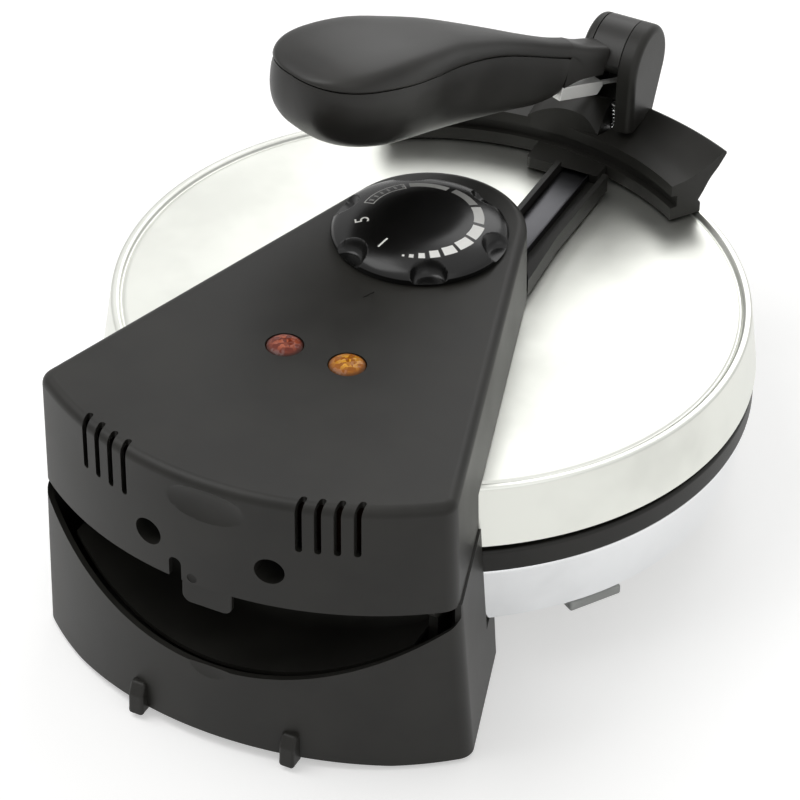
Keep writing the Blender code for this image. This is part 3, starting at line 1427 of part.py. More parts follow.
def make_lever():
    """The steel plate and rod under the handle's neck."""
    half = TONGUE_PLATE_WIDTH / 2
    top = -NECK_BELLY * 1.5 - GAP
    low = top - TONGUE_PLATE_DEPTH
    x = HANDLE_SWAY * 1.2
    front = TONGUE_PLATE_START
    outline = [
        (front, top), (front - SHEET, top - SHEET * 2), (front + SHEET, low),
        (NECK_LENGTH - GAP, low), (NECK_LENGTH - GAP, top),
    ]
    plate = prism("lever_plate", outline, x - half, x + half, "X", "polished_steel")
    end = front - SHEET - GAP
    begin = -EAR_RADIUS * 0.2
    height = top - SHEET * 2
    bar = rod("lever_rod", RELEASE_ROD_RADIUS, "Y", (0, 0, 0), end - begin, "plain_steel",
              TINY_STEPS)
    set_on_handle(plate)
    bar.matrix_local = (handle_pose() @ Matrix.Translation((x, (begin + end) / 2, height))
                        @ bar.rotation_euler.to_matrix().to_4x4())


def make_spring():
    x = BOSS_RIGHT_X - POCKET_WIDTH * 0.43
    y = boss_back_y() + POCKET_WIDTH * 0.37
    head = PLUNGER_RADIUS * 1.2
    low = POCKET_FLOOR + SPRING_WIRE_RADIUS + GAP
    high = PLUNGER_TOP_Z - head - SPRING_WIRE_RADIUS - GAP
    count = SPRING_TURNS * SPRING_STEPS
    points = []
    for i in range(count + 1):
        angle = math.tau * SPRING_TURNS * i / count
        z = low + (high - low) * i / count
        points.append((x + SPRING_RADIUS * math.cos(angle), y + SPRING_RADIUS * math.sin(angle), z))
    tube("release_spring", points, SPRING_WIRE_RADIUS, "plain_steel", 1)
    pitch = (high - low) / SPRING_TURNS
    print("release spring, least gap between turns:", round(pitch - 2 * SPRING_WIRE_RADIUS, 5))
    floor = POCKET_FLOOR + GAP
    wide = SPRING_RADIUS + SPRING_WIRE_RADIUS
    turned("release_plunger", [
        (0, PLUNGER_TOP_Z), (wide, PLUNGER_TOP_Z), (wide, PLUNGER_TOP_Z - head),
        (PLUNGER_RADIUS, PLUNGER_TOP_Z - head), (PLUNGER_RADIUS, floor), (0, floor),
    ], "plain_steel", TINY_STEPS, (x, y))


make_lid_cover()
make_plates()
make_lid_liner()
make_heating()
make_base_ring()
make_base_skirt()
make_bottom_pan()
make_front_legs()
make_bumpers()
make_rear_housing()
make_hinge_pins()
make_rear_pads()
make_inner_shield()
make_upper_housing()
make_housing_cover()
make_screws()
make_knob()
make_thermostat()
make_lamps()
make_spine()
make_strap()
make_bracket()
make_yoke()
make_hub()
make_handle_top()
make_handle_bottom()
make_lever()
make_spring()


# Parenting: the frame stands the object on the table, and each joint has an empty on its axis
HANDLE_PIECES = (
    "handle_hub", "handle_top_shell", "handle_lower_shell", "lever_plate", "lever_rod",
)
KNOB_PIECES = ("control_knob", "knob_shaft")
LID_PIECES = (
    "lid_cover", "lid_liner", "upper_cooking_plate", "upper_heating_element", "upper_reflector",
    "upper_housing", "housing_cover", "housing_screw_left", "housing_screw_right", "thermostat",
    "lamp_lens_power", "lamp_lens_ready", "lamp_body_power", "lamp_body_ready", "spine_channel",
    "pressure_strap", "front_bracket", "pivot_yoke", "pivot_pin", "release_spring", "release_plunger",
)


def make_axis(name, place, parent=None):
    axis = bpy.data.objects.new(name, None)
    axis.empty_display_size = LEG_RADIUS
    parts.objects.link(axis)
    axis.parent = parent
    axis.location = place
    return axis


frame = make_axis("roti_maker_frame", (0, FRAME_SHIFT_Y, -TABLE_Z))
lid_axis = make_axis("lid_hinge_axis", (0, HINGE_Y, SEAM_Z), frame)
pivot_x = hub_centre()[0]
handle_axis = make_axis(
    "handle_pivot_axis", (pivot_x, PIVOT_Y - HINGE_Y, PIVOT_Z - SEAM_Z), lid_axis
)
knob_axis = make_axis("knob_axis", (0, KNOB_Y - HINGE_Y, HOUSING_TOP_Z - SEAM_Z), lid_axis)
bpy.context.view_layer.update()

for piece in list(parts.objects) + list(cutters.objects):
    if piece.type == "EMPTY":
        continue
    owner = frame
    if piece.name in LID_PIECES:
        owner = lid_axis
    elif piece.name in HANDLE_PIECES:
        owner = handle_axis
    elif piece.name in KNOB_PIECES:
        owner = knob_axis
    piece.parent = owner
    piece.matrix_parent_inverse = owner.matrix_world.inverted() @ frame.matrix_world

bpy.context.view_layer.update()
for axis in (lid_axis, handle_axis, knob_axis):
    print(axis.name, [round(v, 5) for v in axis.matrix_world.translation])
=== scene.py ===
import json
import math

import bmesh
import bpy
from mathutils import Matrix, Vector

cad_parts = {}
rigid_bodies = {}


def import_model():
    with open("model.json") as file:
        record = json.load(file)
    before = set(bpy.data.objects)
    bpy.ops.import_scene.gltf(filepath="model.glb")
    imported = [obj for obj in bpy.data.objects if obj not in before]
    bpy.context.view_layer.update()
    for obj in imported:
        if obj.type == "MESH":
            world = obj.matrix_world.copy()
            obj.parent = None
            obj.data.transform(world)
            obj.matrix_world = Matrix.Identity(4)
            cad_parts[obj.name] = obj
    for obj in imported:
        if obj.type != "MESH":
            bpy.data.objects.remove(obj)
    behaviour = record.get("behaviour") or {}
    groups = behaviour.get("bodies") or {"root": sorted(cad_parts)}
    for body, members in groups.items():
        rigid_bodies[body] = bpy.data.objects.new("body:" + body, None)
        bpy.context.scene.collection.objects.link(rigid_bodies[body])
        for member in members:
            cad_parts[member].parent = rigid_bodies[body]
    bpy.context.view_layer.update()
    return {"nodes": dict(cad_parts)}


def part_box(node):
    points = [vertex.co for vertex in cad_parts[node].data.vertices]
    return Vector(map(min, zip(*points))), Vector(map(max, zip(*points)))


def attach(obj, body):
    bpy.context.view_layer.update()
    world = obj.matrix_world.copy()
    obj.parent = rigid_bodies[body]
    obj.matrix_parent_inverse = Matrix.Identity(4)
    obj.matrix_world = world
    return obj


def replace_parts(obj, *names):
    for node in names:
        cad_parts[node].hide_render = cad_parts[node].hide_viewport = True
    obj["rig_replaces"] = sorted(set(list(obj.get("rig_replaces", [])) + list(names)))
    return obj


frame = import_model()

# Everything is laid out about the lid's axis, with z = 0 on the lid's flat top
lidLow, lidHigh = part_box("lid_cover")
lidOrigin = Vector((0, (lidLow.y + lidHigh.y) / 2, lidHigh.z))
hair = 0.0003  # clearance between pieces that touch
creaseAngle = 35  # degrees; edges sharper than this aren't shaded smooth


def around(radius, a, *height):
    # the point at an angle on a circle about Z
    return (radius * math.cos(a), radius * math.sin(a), *height)


def arc(centre, radius, start, end, steps):
    turns = [math.radians(start + (end - start) * i / steps) for i in range(steps + 1)]
    return [(centre[0] + radius * math.cos(a), centre[1] + radius * math.sin(a)) for a in turns]


def fillet(points, radius, steps=4, closed=True):
    # rounds each corner with a true arc; radius is one value or one for each point
    soft = []
    for i, corner in enumerate(points):
        size = radius[i] if isinstance(radius, (list, tuple)) else radius
        if size == 0 or (not closed and i in (0, len(points) - 1)):
            soft.append(tuple(corner))
            continue
        p = Vector(corner)
        a = Vector(points[i - 1]) - p
        b = Vector(points[(i + 1) % len(points)]) - p
        angle = a.angle(b)
        if angle > math.radians(172):  # almost straight
            soft.append(tuple(corner))
            continue
        # an arc takes up less than half of each side, so that neighbours never meet
        reach = min(size / math.tan(angle / 2), a.length * 0.48, b.length * 0.48)
        start = p + a.normalized() * reach
        end = p + b.normalized() * reach
        pull = math.sin(angle / 2)
        for k in range(steps + 1):
            t = k / steps
            whole = (1 - t) ** 2 + 2 * pull * t * (1 - t) + t * t
            q = (start * (1 - t) ** 2 + p * (2 * pull * t * (1 - t)) + end * t * t) / whole
            soft.append(tuple(q))
    return soft


def smoothLine(points, steps):
    # a smooth curve through rows of values, such as points
    line = []
    last = len(points) - 1
    for i in range(last):
        p0, p1, p2, p3 = (points[max(i - 1, 0)], points[i], points[i + 1], points[min(i + 2, last)])
        for k in range(steps):
            t = k / steps
            line.append(tuple(
                b + 0.5 * t * ((c - a) + t * ((2 * a - 5 * b + 4 * c - d) + t * (3 * (b - c) + d - a)))
                for a, b, c, d in zip(p0, p1, p2, p3)
            ))
    return line + [tuple(points[last])]


# Raw shapes
def linked(name, data):
    obj = bpy.data.objects.new(name, data)
    bpy.context.scene.collection.objects.link(obj)
    return obj


def reworked(mesh, work, sharpAngle=180):
    # does some work on a mesh and shades it smooth; at 180 degrees no edge is kept sharp
    shape = bmesh.new()
    shape.from_mesh(mesh)
    work(shape)
    shape.to_mesh(mesh)
    shape.free()
    mesh.shade_smooth()
    if sharpAngle < 180:
        mesh.set_sharp_from_angle(angle=math.radians(sharpAngle))


def stitched(name, rings, sharpAngle, closed=False, capped=False):
    # faces between neighbouring rings of points, where a ring of one point is a pole
    points = []
    places = []
    for ring in rings:
        places.append(range(len(points), len(points) + len(ring)))
        points += ring
    pairs = list(zip(places, places[1:]))
    if closed:
        pairs.append((places[-1], places[0]))
    faces = []
    for one, two in pairs:
        for i in range(max(len(one), len(two))):
            corners = [one[i % len(one)], one[(i + 1) % len(one)], two[(i + 1) % len(two)], two[i % len(two)]]
            corners = list(dict.fromkeys(corners))
            if len(corners) > 2:
                faces.append(corners)
    if capped:
        faces += [tuple(reversed(places[0])), tuple(places[-1])]
    mesh = bpy.data.meshes.new(name)
    mesh.from_pydata(points, [], faces)
    reworked(mesh, lambda shape: bmesh.ops.recalc_face_normals(shape, faces=shape.faces[:]), sharpAngle)
    return linked(name, mesh)


def turned(name, profile, steps=160, at=(0, 0, 0), sharpAngle=creaseAngle):
    # a profile of (radius, height) turned about Z; it is closed where neither end is on the axis
    rings = []
    for radius, height in profile:
        ring = [around(radius, math.tau * i / steps, height) for i in range(steps if radius else 1)]
        rings.append([(at[0] + x, at[1] + y, at[2] + z) for x, y, z in ring])
    return stitched(name, rings, sharpAngle, closed=bool(profile[0][0] and profile[-1][0]))


def lofted(name, sections, sharpAngle=creaseAngle):
    return stitched(name, sections, sharpAngle, capped=True)


def laid(outline, level, axis="Z"):
    # a flat loop at a level: (x, y) along Z, (x, z) along Y, (y, z) along X
    if axis == "Z":
        return [(a, b, level) for a, b in outline]
    return [(a, level, b) if axis == "Y" else (level, a, b) for a, b in outline]


def slab(name, outline, low, high, axis="Z", edge=0.0):
    # an outline given thickness, with its rims rounded by edge
    def roundRims(shape):
        rims = [e for e in shape.edges if e.calc_face_angle(0) > math.radians(60)]
        bmesh.ops.bevel(shape, geom=rims, offset=edge, segments=4, profile=0.5, affect="EDGES")

    obj = lofted(name, [laid(outline, low, axis), laid(outline, high, axis)])
    if edge:
        reworked(obj.data, roundRims, creaseAngle)
    return obj


def boxed(name, low, high, edge=0.0):
    outline = [(low[0], low[1]), (high[0], low[1]), (high[0], high[1]), (low[0], high[1])]
    return slab(name, outline, low[2], high[2], "Z", edge)


def rod(name, radius, axis, centre, length, edge=0.0, steps=48):
    # a round bar along an axis, centred on a point
    half = length / 2
    profile = fillet([(0, half), (radius, half), (radius, -half), (0, -half)], edge, 4, False)
    obj = turned(name, profile, steps)
    turns = {"X": Matrix.Rotation(math.pi / 2, 4, "Y"), "Y": Matrix.Rotation(-math.pi / 2, 4, "X"),
             "Z": Matrix.Identity(4)}
    obj.data.transform(Matrix.Translation(centre) @ turns[axis])
    return obj


def egg(name, radii, centre):
    half = 32
    profile = [(0, 1)] + arc((0, 0), 1, 90 - 180 / half, -90 + 180 / half, half - 2) + [(0, -1)]
    obj = turned(name, profile, 2 * half)
    obj.data.transform(Matrix.Translation(centre) @ Matrix.Diagonal((*radii, 1)))
    return obj


def change(obj, others, operation="DIFFERENCE"):
    # cuts the others away or joins them on, and keeps only the result
    for other in others:
        step = obj.modifiers.new(other.name, "BOOLEAN")
        step.operation = operation
        step.solver = "EXACT"
        step.object = other
        graph = bpy.context.evaluated_depsgraph_get()
        made = bpy.data.meshes.new_from_object(obj.evaluated_get(graph))
        obj.modifiers.clear()
        old = obj.data
        obj.data = made
        bpy.data.meshes.remove(old)
        bpy.data.objects.remove(other)
    return obj


def cleaned(obj, sharpAngle=creaseAngle):
    # merges what Booleans left closer together than can be seen
    def mergeClose(shape):
        bmesh.ops.remove_doubles(shape, verts=shape.verts[:], dist=hair / 20)
        bmesh.ops.dissolve_degenerate(shape, edges=shape.edges[:], dist=hair / 20)

    reworked(obj.data, mergeClose, sharpAngle)
    return obj


def softened(obj, width):
    # a small bevel on the edges that Booleans left sharp
    step = obj.modifiers.new("softEdges", "BEVEL")
    step.width = width
    step.segments = 2
    step.limit_method = "ANGLE"
    step.angle_limit = math.radians(40)
    step.harden_normals = False
    return obj


def fitted(obj, body, finish, nodes=(), at=lidOrigin):
    # puts a piece on its body with its finish, and marks the CAD nodes that it replaces, if any
    obj.location = at
    obj.data.materials.clear()
    obj.data.materials.append(finish)
    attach(obj, body)
    if nodes:
        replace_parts(obj, *nodes)
    return obj


# Shader maths
class Wire:
    # a socket of a node tree, for use in sums
    def __init__(self, tree, socket=None):
        self.tree = tree
        self.socket = socket

    def plug(self, target, value):
        if isinstance(value, Wire):
            self.tree.links.new(value.socket, target)
        elif isinstance(value, (tuple, list)) and len(value) == 3 and target.type == "RGBA":
            target.default_value = (*value, 1.0)
        else:
            target.default_value = value

    def node(self, kind, settings=None, values=None, out=0):
        made = self.tree.nodes.new(kind)
        for key, value in (settings or {}).items():
            setattr(made, key, value)
        for key, value in (values or {}).items():
            self.plug(made.inputs[key], value)
        return Wire(self.tree, made.outputs[out] if made.outputs else None)

    def other(self, out):
        # another output of this wire's node
        return Wire(self.tree, self.socket.node.outputs[out])

    def math(self, operation, *values):
        return self.node("ShaderNodeMath", {"operation": operation}, dict(enumerate(values)))

    def __add__(self, other):
        return self.math("ADD", self, other)

    def __sub__(self, other):
        return self.math("SUBTRACT", self, other)

    def __rsub__(self, other):
        return self.math("SUBTRACT", other, self)

    def __mul__(self, other):
        return self.math("MULTIPLY", self, other)

    def __pow__(self, other):
        return self.math("POWER", self, other)

    __radd__ = __add__
    __rmul__ = __mul__

    def step(self, low, high):
        # 0 below low and 1 above high, eased between
        return self.node("ShaderNodeMapRange", {"interpolation_type": "SMOOTHSTEP"},
                         {"Value": self, "From Min": low, "From Max": high})

    def blend(self, one, two):
        # a colour that goes from one to two as this value goes from 0 to 1
        return self.node("ShaderNodeMix", {"data_type": "RGBA"}, {0: self, 6: one, 7: two}, 2)


def newFinish(name):
    finish = bpy.data.materials.new(name)
    finish.use_nodes = True
    finish.node_tree.nodes.clear()
    tree = Wire(finish.node_tree)
    place = tree.node("ShaderNodeTexCoord", out=3)
    return finish, tree, place


def closeFinish(tree, values):
    shader = tree.node("ShaderNodeBsdfPrincipled", None, values)
    tree.node("ShaderNodeOutputMaterial", None, {"Surface": shader})


def grain(tree, place, scale, detail=2.0, rough=0.5):
    return tree.node("ShaderNodeTexNoise", None,
                     {"Vector": place, "Scale": scale, "Detail": detail, "Roughness": rough})


def bump(tree, height, strength, distance, under=None):
    values = {"Height": height, "Strength": strength, "Distance": distance}
    if under:
        values["Normal"] = under
    return tree.node("ShaderNodeBump", None, values)


def plasticFinish(name, colour, rough, sparkle=0.35, shine=0.30):
    # moulded plastic: fine spark-eroded grain, soft waviness and a little dust
    finish, tree, place = newFinish(name)
    wave = grain(tree, place, 28.0, 3.0)
    fine = grain(tree, place, 2600.0, 2.0, 0.6)
    speck = grain(tree, place, 420.0, 4.0, 0.7).step(0.62, 0.78)
    dusty = tuple(c * 1.3 + 0.002 for c in colour)
    deep = tuple(c * 0.86 for c in colour)
    tone = wave.step(0.3, 0.7).blend(deep, dusty)
    tone = (speck * 0.25).blend(tone, tuple(c * 1.7 + 0.004 for c in colour))
    normal = bump(tree, fine, sparkle, 0.00012, bump(tree, wave, 0.12, 0.0012))
    closeFinish(tree, {
        "Base Color": tone,
        "Roughness": rough + wave * 0.14 - 0.07 + speck * 0.05,
        "Normal": normal,
        "Specular IOR Level": shine,
    })
    return finish


def steelFinish(name, colour, rough, crinkle, metal=1.0):
    # thin pressed sheet: broad soft dents, faint rub marks and fingerprints in the gloss, and soft patches of
    # painted reflection
    finish, tree, place = newFinish(name)
    dents = grain(tree, place, 17.0, 2.0, 0.4)
    ripple = tree.node("ShaderNodeTexNoise", None, {
        "Vector": place, "Scale": 30.0, "Detail": 2.0, "Roughness": 0.45, "Distortion": 0.8})
    rub = grain(tree, place, 240.0, 5.0, 0.7)
    smearAndPaintedReflection = grain(tree, place, 12.0, 4.0, 0.6).step(0.42, 0.7)
    # painted reflection: soft patches of the colour are painted 10% darker, standing in for darker crinkled
    # reflections; the same mask also roughens the gloss
    tone = smearAndPaintedReflection.blend(colour, tuple(c * 0.90 for c in colour))
    normal = bump(tree, ripple, crinkle, 0.0016, bump(tree, dents, crinkle, 0.006))
    closeFinish(tree, {
        "Base Color": tone,
        "Metallic": metal,
        "Roughness": rough + smearAndPaintedReflection * 0.07 + rub * 0.05,
        "Normal": normal,
    })
    return finish


def platedFinish(name, colour, rough):
    # plain sheet and turned steel with a drawn grain
    finish, tree, place = newFinish(name)
    drawn = tree.node("ShaderNodeTexNoise", None, {
        "Vector": tree.node("ShaderNodeVectorMath", {"operation": "MULTIPLY"},
                            {0: place, 1: (60.0, 900.0, 900.0)}),
        "Scale": 1.0, "Detail": 3.0})
    cloud = grain(tree, place, 35.0, 3.0)
    closeFinish(tree, {
        "Base Color": cloud.step(0.3, 0.7).blend(tuple(c * 0.85 for c in colour), colour),
        "Metallic": 1.0,
        "Roughness": rough + drawn * 0.12,
        "Normal": bump(tree, drawn, 0.15, 0.0002),
    })
    return finish


def castFinish(name, colour):
    # non-stick coating: dark, softly pebbled, with fine mineral flecks
    finish, tree, place = newFinish(name)
    pebble = grain(tree, place, 700.0, 3.0, 0.6)
    fleck = tree.node("ShaderNodeTexVoronoi", None, {"Vector": place, "Scale": 900.0}).step(0.16, 0.08)
    closeFinish(tree, {
        "Base Color": (fleck * 0.5).blend(colour, (0.30, 0.30, 0.31)),
        "Metallic": 0.25,
        "Roughness": 0.38 + pebble * 0.15,
        "Normal": bump(tree, pebble, 0.3, 0.0002),
    })
    return finish


def rubberFinish(name, colour):
    finish, tree, place = newFinish(name)
    fine = grain(tree, place, 1500.0, 3.0)
    worn = grain(tree, place, 70.0, 3.0).step(0.4, 0.75)
    closeFinish(tree, {
        "Base Color": worn.blend(colour, tuple(c * 1.3 + 0.01 for c in colour)),
        "Roughness": 0.72 + fine * 0.15,
        "Normal": bump(tree, fine, 0.4, 0.0002),
    })
    return finish


def lensFinish(name, deep, bright, glintTone):
    # a clear coloured cap, lighter in the middle than at its rim, with bright broken patches painted in as
    # glints of its inner facets and a slight painted glow
    finish, tree, place = newFinish(name)
    away = tree.node("ShaderNodeVectorMath", {"operation": "LENGTH"}, {0: place}, 1)
    facet = tree.node("ShaderNodeTexVoronoi", {"feature": "F1"}, {"Vector": place, "Scale": 520.0}, 1)
    split = tree.node("ShaderNodeSeparateColor", None, {"Color": facet})
    # painted glints: bright broken patches from the facet cells, fading out towards the rim
    paintedGlint = split.step(0.35, 0.75) * (1 - away.step(0.0020, 0.0078))
    tone = away.step(0.0062, 0.0080).blend(paintedGlint.blend(bright, glintTone), deep)
    cells = tree.node("ShaderNodeTexVoronoi", {"feature": "SMOOTH_F1"}, {"Vector": place, "Scale": 520.0})
    closeFinish(tree, {
        "Base Color": tone,
        "Roughness": 0.14 + cells * 0.1,
        "Specular IOR Level": 0.25,
        # painted glow: the lens gives off a little light in its own colour, glints included
        "Emission Color": tone,
        "Emission Strength": 0.10,
        "Normal": bump(tree, cells, 0.5, 0.0008),
    })
    return finish


def knobFinish(marks):
    # gloss plastic with the printed heat scale, read from the angle and distance to the axis
    finish, tree, place = newFinish("knobGloss")
    x = tree.node("ShaderNodeSeparateXYZ", None, {"Vector": place})
    y = x.other(1)
    radius = (x * x + y * y) ** 0.5
    turn = tree.math("ARCTAN2", y, x) * (180 / math.pi)
    facing = tree.node("ShaderNodeNewGeometry", None, None, 1)
    upward = tree.node("ShaderNodeSeparateXYZ", None, {"Vector": facing}, 2)

    def band(value, low, high, soft):
        return value.step(low - soft, low + soft) * (1 - value.step(high - soft, high + soft))

    soft = marks["inkEdge"]
    blur = marks["inkTurn"]
    ink = None
    for middle, half, near, far, shade in marks["blocks"]:
        away = tree.math("WRAP", turn - middle, 180.0, -180.0)
        mark = band(away, -half, half, blur) * band(radius, near, far, soft) * shade
        ink = mark if ink is None else ink + mark
    middle, half, near, far = marks["frame"]
    away = tree.math("WRAP", turn - middle, 180.0, -180.0)
    line = marks["line"]
    outer = band(away, -half, half, blur) * band(radius, near, far, soft)
    inner = band(away, marks["lineTurn"] - half, half - marks["lineTurn"], blur)
    inner = inner * band(radius, near + line, far - line, soft)
    rungs = tree.math("SINE", away * marks["rungs"]).step(0.4, 0.8) * inner
    rungs = rungs * band(radius, near + line * 2.6, far - line * 2.6, soft) * 0.4
    ink = ink + (outer - inner) * 0.7 + rungs
    ink = ink * upward.step(0.5, 0.8)
    wave = grain(tree, place, 45.0, 2.0)
    fine = grain(tree, place, 1800.0, 3.0)
    closeFinish(tree, {
        "Base Color": ink.blend((0.0035, 0.0034, 0.0032), (0.86, 0.86, 0.83)),
        "Roughness": 0.20 + wave * 0.08 + ink * 0.25,
        "Normal": bump(tree, fine, 0.06, 0.0001, bump(tree, wave, 0.05, 0.001)),
        "Specular IOR Level": 0.36,
    })
    return finish


knobMarks = {
    "inkEdge": 0.0001, "inkTurn": 0.35, "line": 0.0005, "lineTurn": 1.2, "rungs": 0.75,
    "frame": (-22.7, 25.6, 0.0220, 0.0268),
    # each block: middle angle, half angle, inner and outer radius, and how white it is
    "blocks": (
        (101.5, 1.0, 0.0286, 0.0296, 1.0), (108.4, 2.0, 0.0279, 0.0297, 0.9),
        (117.3, 2.8, 0.0269, 0.0297, 1.0), (128.8, 4.4, 0.0258, 0.0297, 1.0),
        (143.3, 6.2, 0.0250, 0.0295, 1.0), (161.0, 8.0, 0.0242, 0.0291, 1.0),
        (183.0, 10.0, 0.0236, 0.0286, 0.92), (211.6, 14.0, 0.0234, 0.0279, 0.62),
        (245.3, 15.6, 0.0235, 0.0274, 0.32), (287.0, 20.0, 0.0232, 0.0268, 0.5),
    ),
}

blackPlastic = plasticFinish("mouldedBlack", (0.0125, 0.0120, 0.0102), 0.46)
handlePlastic = plasticFinish("handleBlack", (0.0170, 0.0163, 0.0145), 0.40, 0.25, 0.36)
lidSteel = steelFinish("pressedLid", (0.765, 0.775, 0.725), 0.33, 0.09)
skirtSteel = steelFinish("pressedSkirt", (0.83, 0.84, 0.85), 0.10, 0.22)
stripSteel = steelFinish("strip", (0.78, 0.79, 0.78), 0.12, 0.06)
# painted reflection: the strap's steel is painted near-black, standing in for the dark housing that it
# mirrors
strapSteelPaintedDark = steelFinish("strap", (0.075, 0.075, 0.08), 0.26, 0.05)
leverSteel = steelFinish("lever", (0.90, 0.90, 0.88), 0.45, 0.05, 0.55)
platedSteel = platedFinish("plated", (0.48, 0.48, 0.47), 0.28)
castGrey = castFinish("coatedCast", (0.055, 0.055, 0.058))
sheathSteel = platedFinish("heatedSheath", (0.23, 0.20, 0.19), 0.4)
padRubber = rubberFinish("padRubber", (0.025, 0.025, 0.025))
greyRubber = rubberFinish("greyRubber", (0.36, 0.37, 0.36))
switchCeramic = rubberFinish("switchCeramic", (0.52, 0.48, 0.40))
lampPlastic = rubberFinish("lampPlastic", (0.58, 0.56, 0.50))
print("finishes made")

carried = {
    platedSteel: ("upper_reflector", "lower_reflector", "hinge_pin_left",
                  "hinge_pin_right", "housing_cover", "housing_screw_left", "housing_screw_right",
                  "deck_screw_left", "deck_screw_right", "knob_shaft"),
    sheathSteel: ("upper_heating_element", "lower_heating_element"),
    switchCeramic: ("thermostat",),
    lampPlastic: ("lamp_body_power", "lamp_body_ready"),
}
for finish, nodes in carried.items():
    for node in nodes:
        for holder in frame["nodes"][node].material_slots:
            holder.material = finish

# The housings' plan: a round nose, two splayed sides and a rounded rear
plan = {
    "half": 0.0428, "splay": 0.30, "noseY": 0.002, "rearRadius": 0.1525, "rearY": 0.0595,
    "corner": 0.0085, "arcSteps": 72, "cornerSteps": 10, "top": 0.039, "seam": -0.017,
    "low": -0.102, "wall": 0.0028, "cutOver": 0.004, "screwHole": 0.0021, "holeLong": 0.012,
    # how far the walls stand out from the plan at the seam and, for the base, what is added at its foot
    "upperOut": 0.002, "lowerSide": (0.003, 0.0065), "lowerRear": (-0.002, -0.003), "footRear": -0.005,
}
splayTurn = math.atan(plan["splay"])
splayDegrees = math.degrees(splayTurn)


def rearCorner(side, rear):
    offset = plan["half"] + (side - plan["corner"]) / math.cos(splayTurn)
    radius = plan["rearRadius"] + rear - plan["corner"]
    a = 1 + plan["splay"] ** 2
    b = 2 * (offset * plan["splay"] - plan["rearY"])
    c = offset ** 2 + plan["rearY"] ** 2 - radius ** 2
    y = (-b + math.sqrt(b * b - 4 * a * c)) / (2 * a)
    return offset + plan["splay"] * y, y


def sideX(y, side=0.0):
    return plan["half"] + side / math.cos(splayTurn) + plan["splay"] * y


def rearY(x, rear=0.0):
    return plan["rearY"] + math.sqrt((plan["rearRadius"] + rear) ** 2 - x * x)


def rearOutline(side, rear, inset=0.0):
    centre = rearCorner(side, rear)
    lean = math.degrees(math.atan2(centre[1] - plan["rearY"], centre[0]))
    corner = arc(centre, plan["corner"] - inset, -splayDegrees, lean, plan["cornerSteps"])
    back = arc((0, plan["rearY"]), plan["rearRadius"] + rear - inset, lean, 180 - lean, plan["arcSteps"])
    return corner + back[1:-1] + [(-x, y) for x, y in reversed(corner)]


def wedgeOutline(side=0.0, rear=0.0, inset=0.0):
    radius = sideX(plan["noseY"]) * math.cos(splayTurn) + side - inset
    nose = arc((0, plan["noseY"]), radius, 180 + splayDegrees, 360 - splayDegrees, plan["arcSteps"])
    return nose + rearOutline(side, rear, inset)


def blockOutline(side, rear, front, inset=0.0):
    y = front + inset
    x = sideX(y, side - inset)
    return [(-x, y), (x, y)] + rearOutline(side, rear, inset)


def upperGrowth(z):
    share = (plan["top"] - z) / (plan["top"] - plan["seam"])
    return plan["upperOut"] * share, -plan["upperOut"] * share


def lowerGrowth(z):
    share = (plan["seam"] - z) / (plan["seam"] - plan["low"])
    return [start + more * share for start, more in (plan["lowerSide"], plan["lowerRear"])]


def doubled(makePiece):
    return [makePiece(side) for side in (1, -1)]


# Lid: the bright pressed cover, its black liner and the upper cooking plate
lid = {
    "radius": 0.142, "edge": 0.0025, "bead": 0.0045, "beadDrop": 0.0009, "skirtRadius": 0.146,
    "skirtZ": -0.0281, "sheet": 0.0012, "liner": (0.1437, -0.0295), "plateRadius": 0.127,
    "faceRadius": 0.1215, "flange": (0.0065, 0.0029), "plateDeep": 0.0107, "upperFace": -0.0305,
    "steps": 192,
}


def makeLidCover():
    bead = lid["radius"] - lid["bead"]
    edge = lid["edge"]
    drop = lid["beadDrop"]
    thick = lid["sheet"]
    outside = [
        (0, -drop), (bead - edge, -drop), (bead - edge / 2, -drop * 1.1), (bead, -drop * 2),
        (bead + edge * 0.45, -drop * 0.5), (lid["radius"] - edge, 0), (lid["radius"] + edge * 0.12, 0),
        (lid["skirtRadius"], lid["skirtZ"]),
    ]
    outside = fillet(outside, [0, 0.02, 0.002, 0.0008, 0.0012, 0.001, edge, 0], 6, False)
    inside = [
        (lid["skirtRadius"] - thick, lid["skirtZ"]), (lid["radius"] - thick, -edge - thick / 2),
        (bead - edge, -drop * 2 - thick), (0, -drop - thick),
    ]
    return turned("lidCover", outside + inside, lid["steps"], sharpAngle=50)


def plateProfile(face, side):
    flangeWide, flangeThick = lid["flange"]
    deep = lid["plateDeep"]
    outer = lid["plateRadius"]
    points = [
        (0, face), (lid["faceRadius"], face), (outer, face + side * (deep - flangeThick) / 2),
        (outer, face + side * (deep - flangeThick)), (outer + flangeWide, face + side * (deep - flangeThick)),
        (outer + flangeWide, face + side * deep), (0, face + side * deep),
    ]
    return fillet(points, [0, 0.004, 0.001, 0.0006, 0.0006, 0.0006, 0], 5, False)


fitted(makeLidCover(), "lid", lidSteel, ["lid_cover"])
linerOuter, linerLow = lid["liner"]
linerTop = lid["upperFace"] + lid["plateDeep"]
linerSeat = lid["plateRadius"] + lid["flange"][0] + hair
linerProfile = fillet([
    (linerSeat, linerTop), (linerOuter - 0.002, linerTop), (linerOuter, linerTop - 0.002),
    (linerOuter, linerLow), (lid["plateRadius"] + 2 * hair, linerLow),
    (lid["plateRadius"] + 2 * hair, linerTop - lid["flange"][1] - hair),
    (linerSeat, linerTop - lid["flange"][1] - hair),
], [0, 0.0006, 0.0006, 0.0008, 0.0005, 0, 0], 4)
fitted(turned("lidLiner", linerProfile, lid["steps"]), "lid", blackPlastic, ["lid_liner"])
fitted(turned("upperCookingPlate", plateProfile(lid["upperFace"], 1), lid["steps"]), "lid", castGrey,
       ["upper_cooking_plate"])
print("lid made")

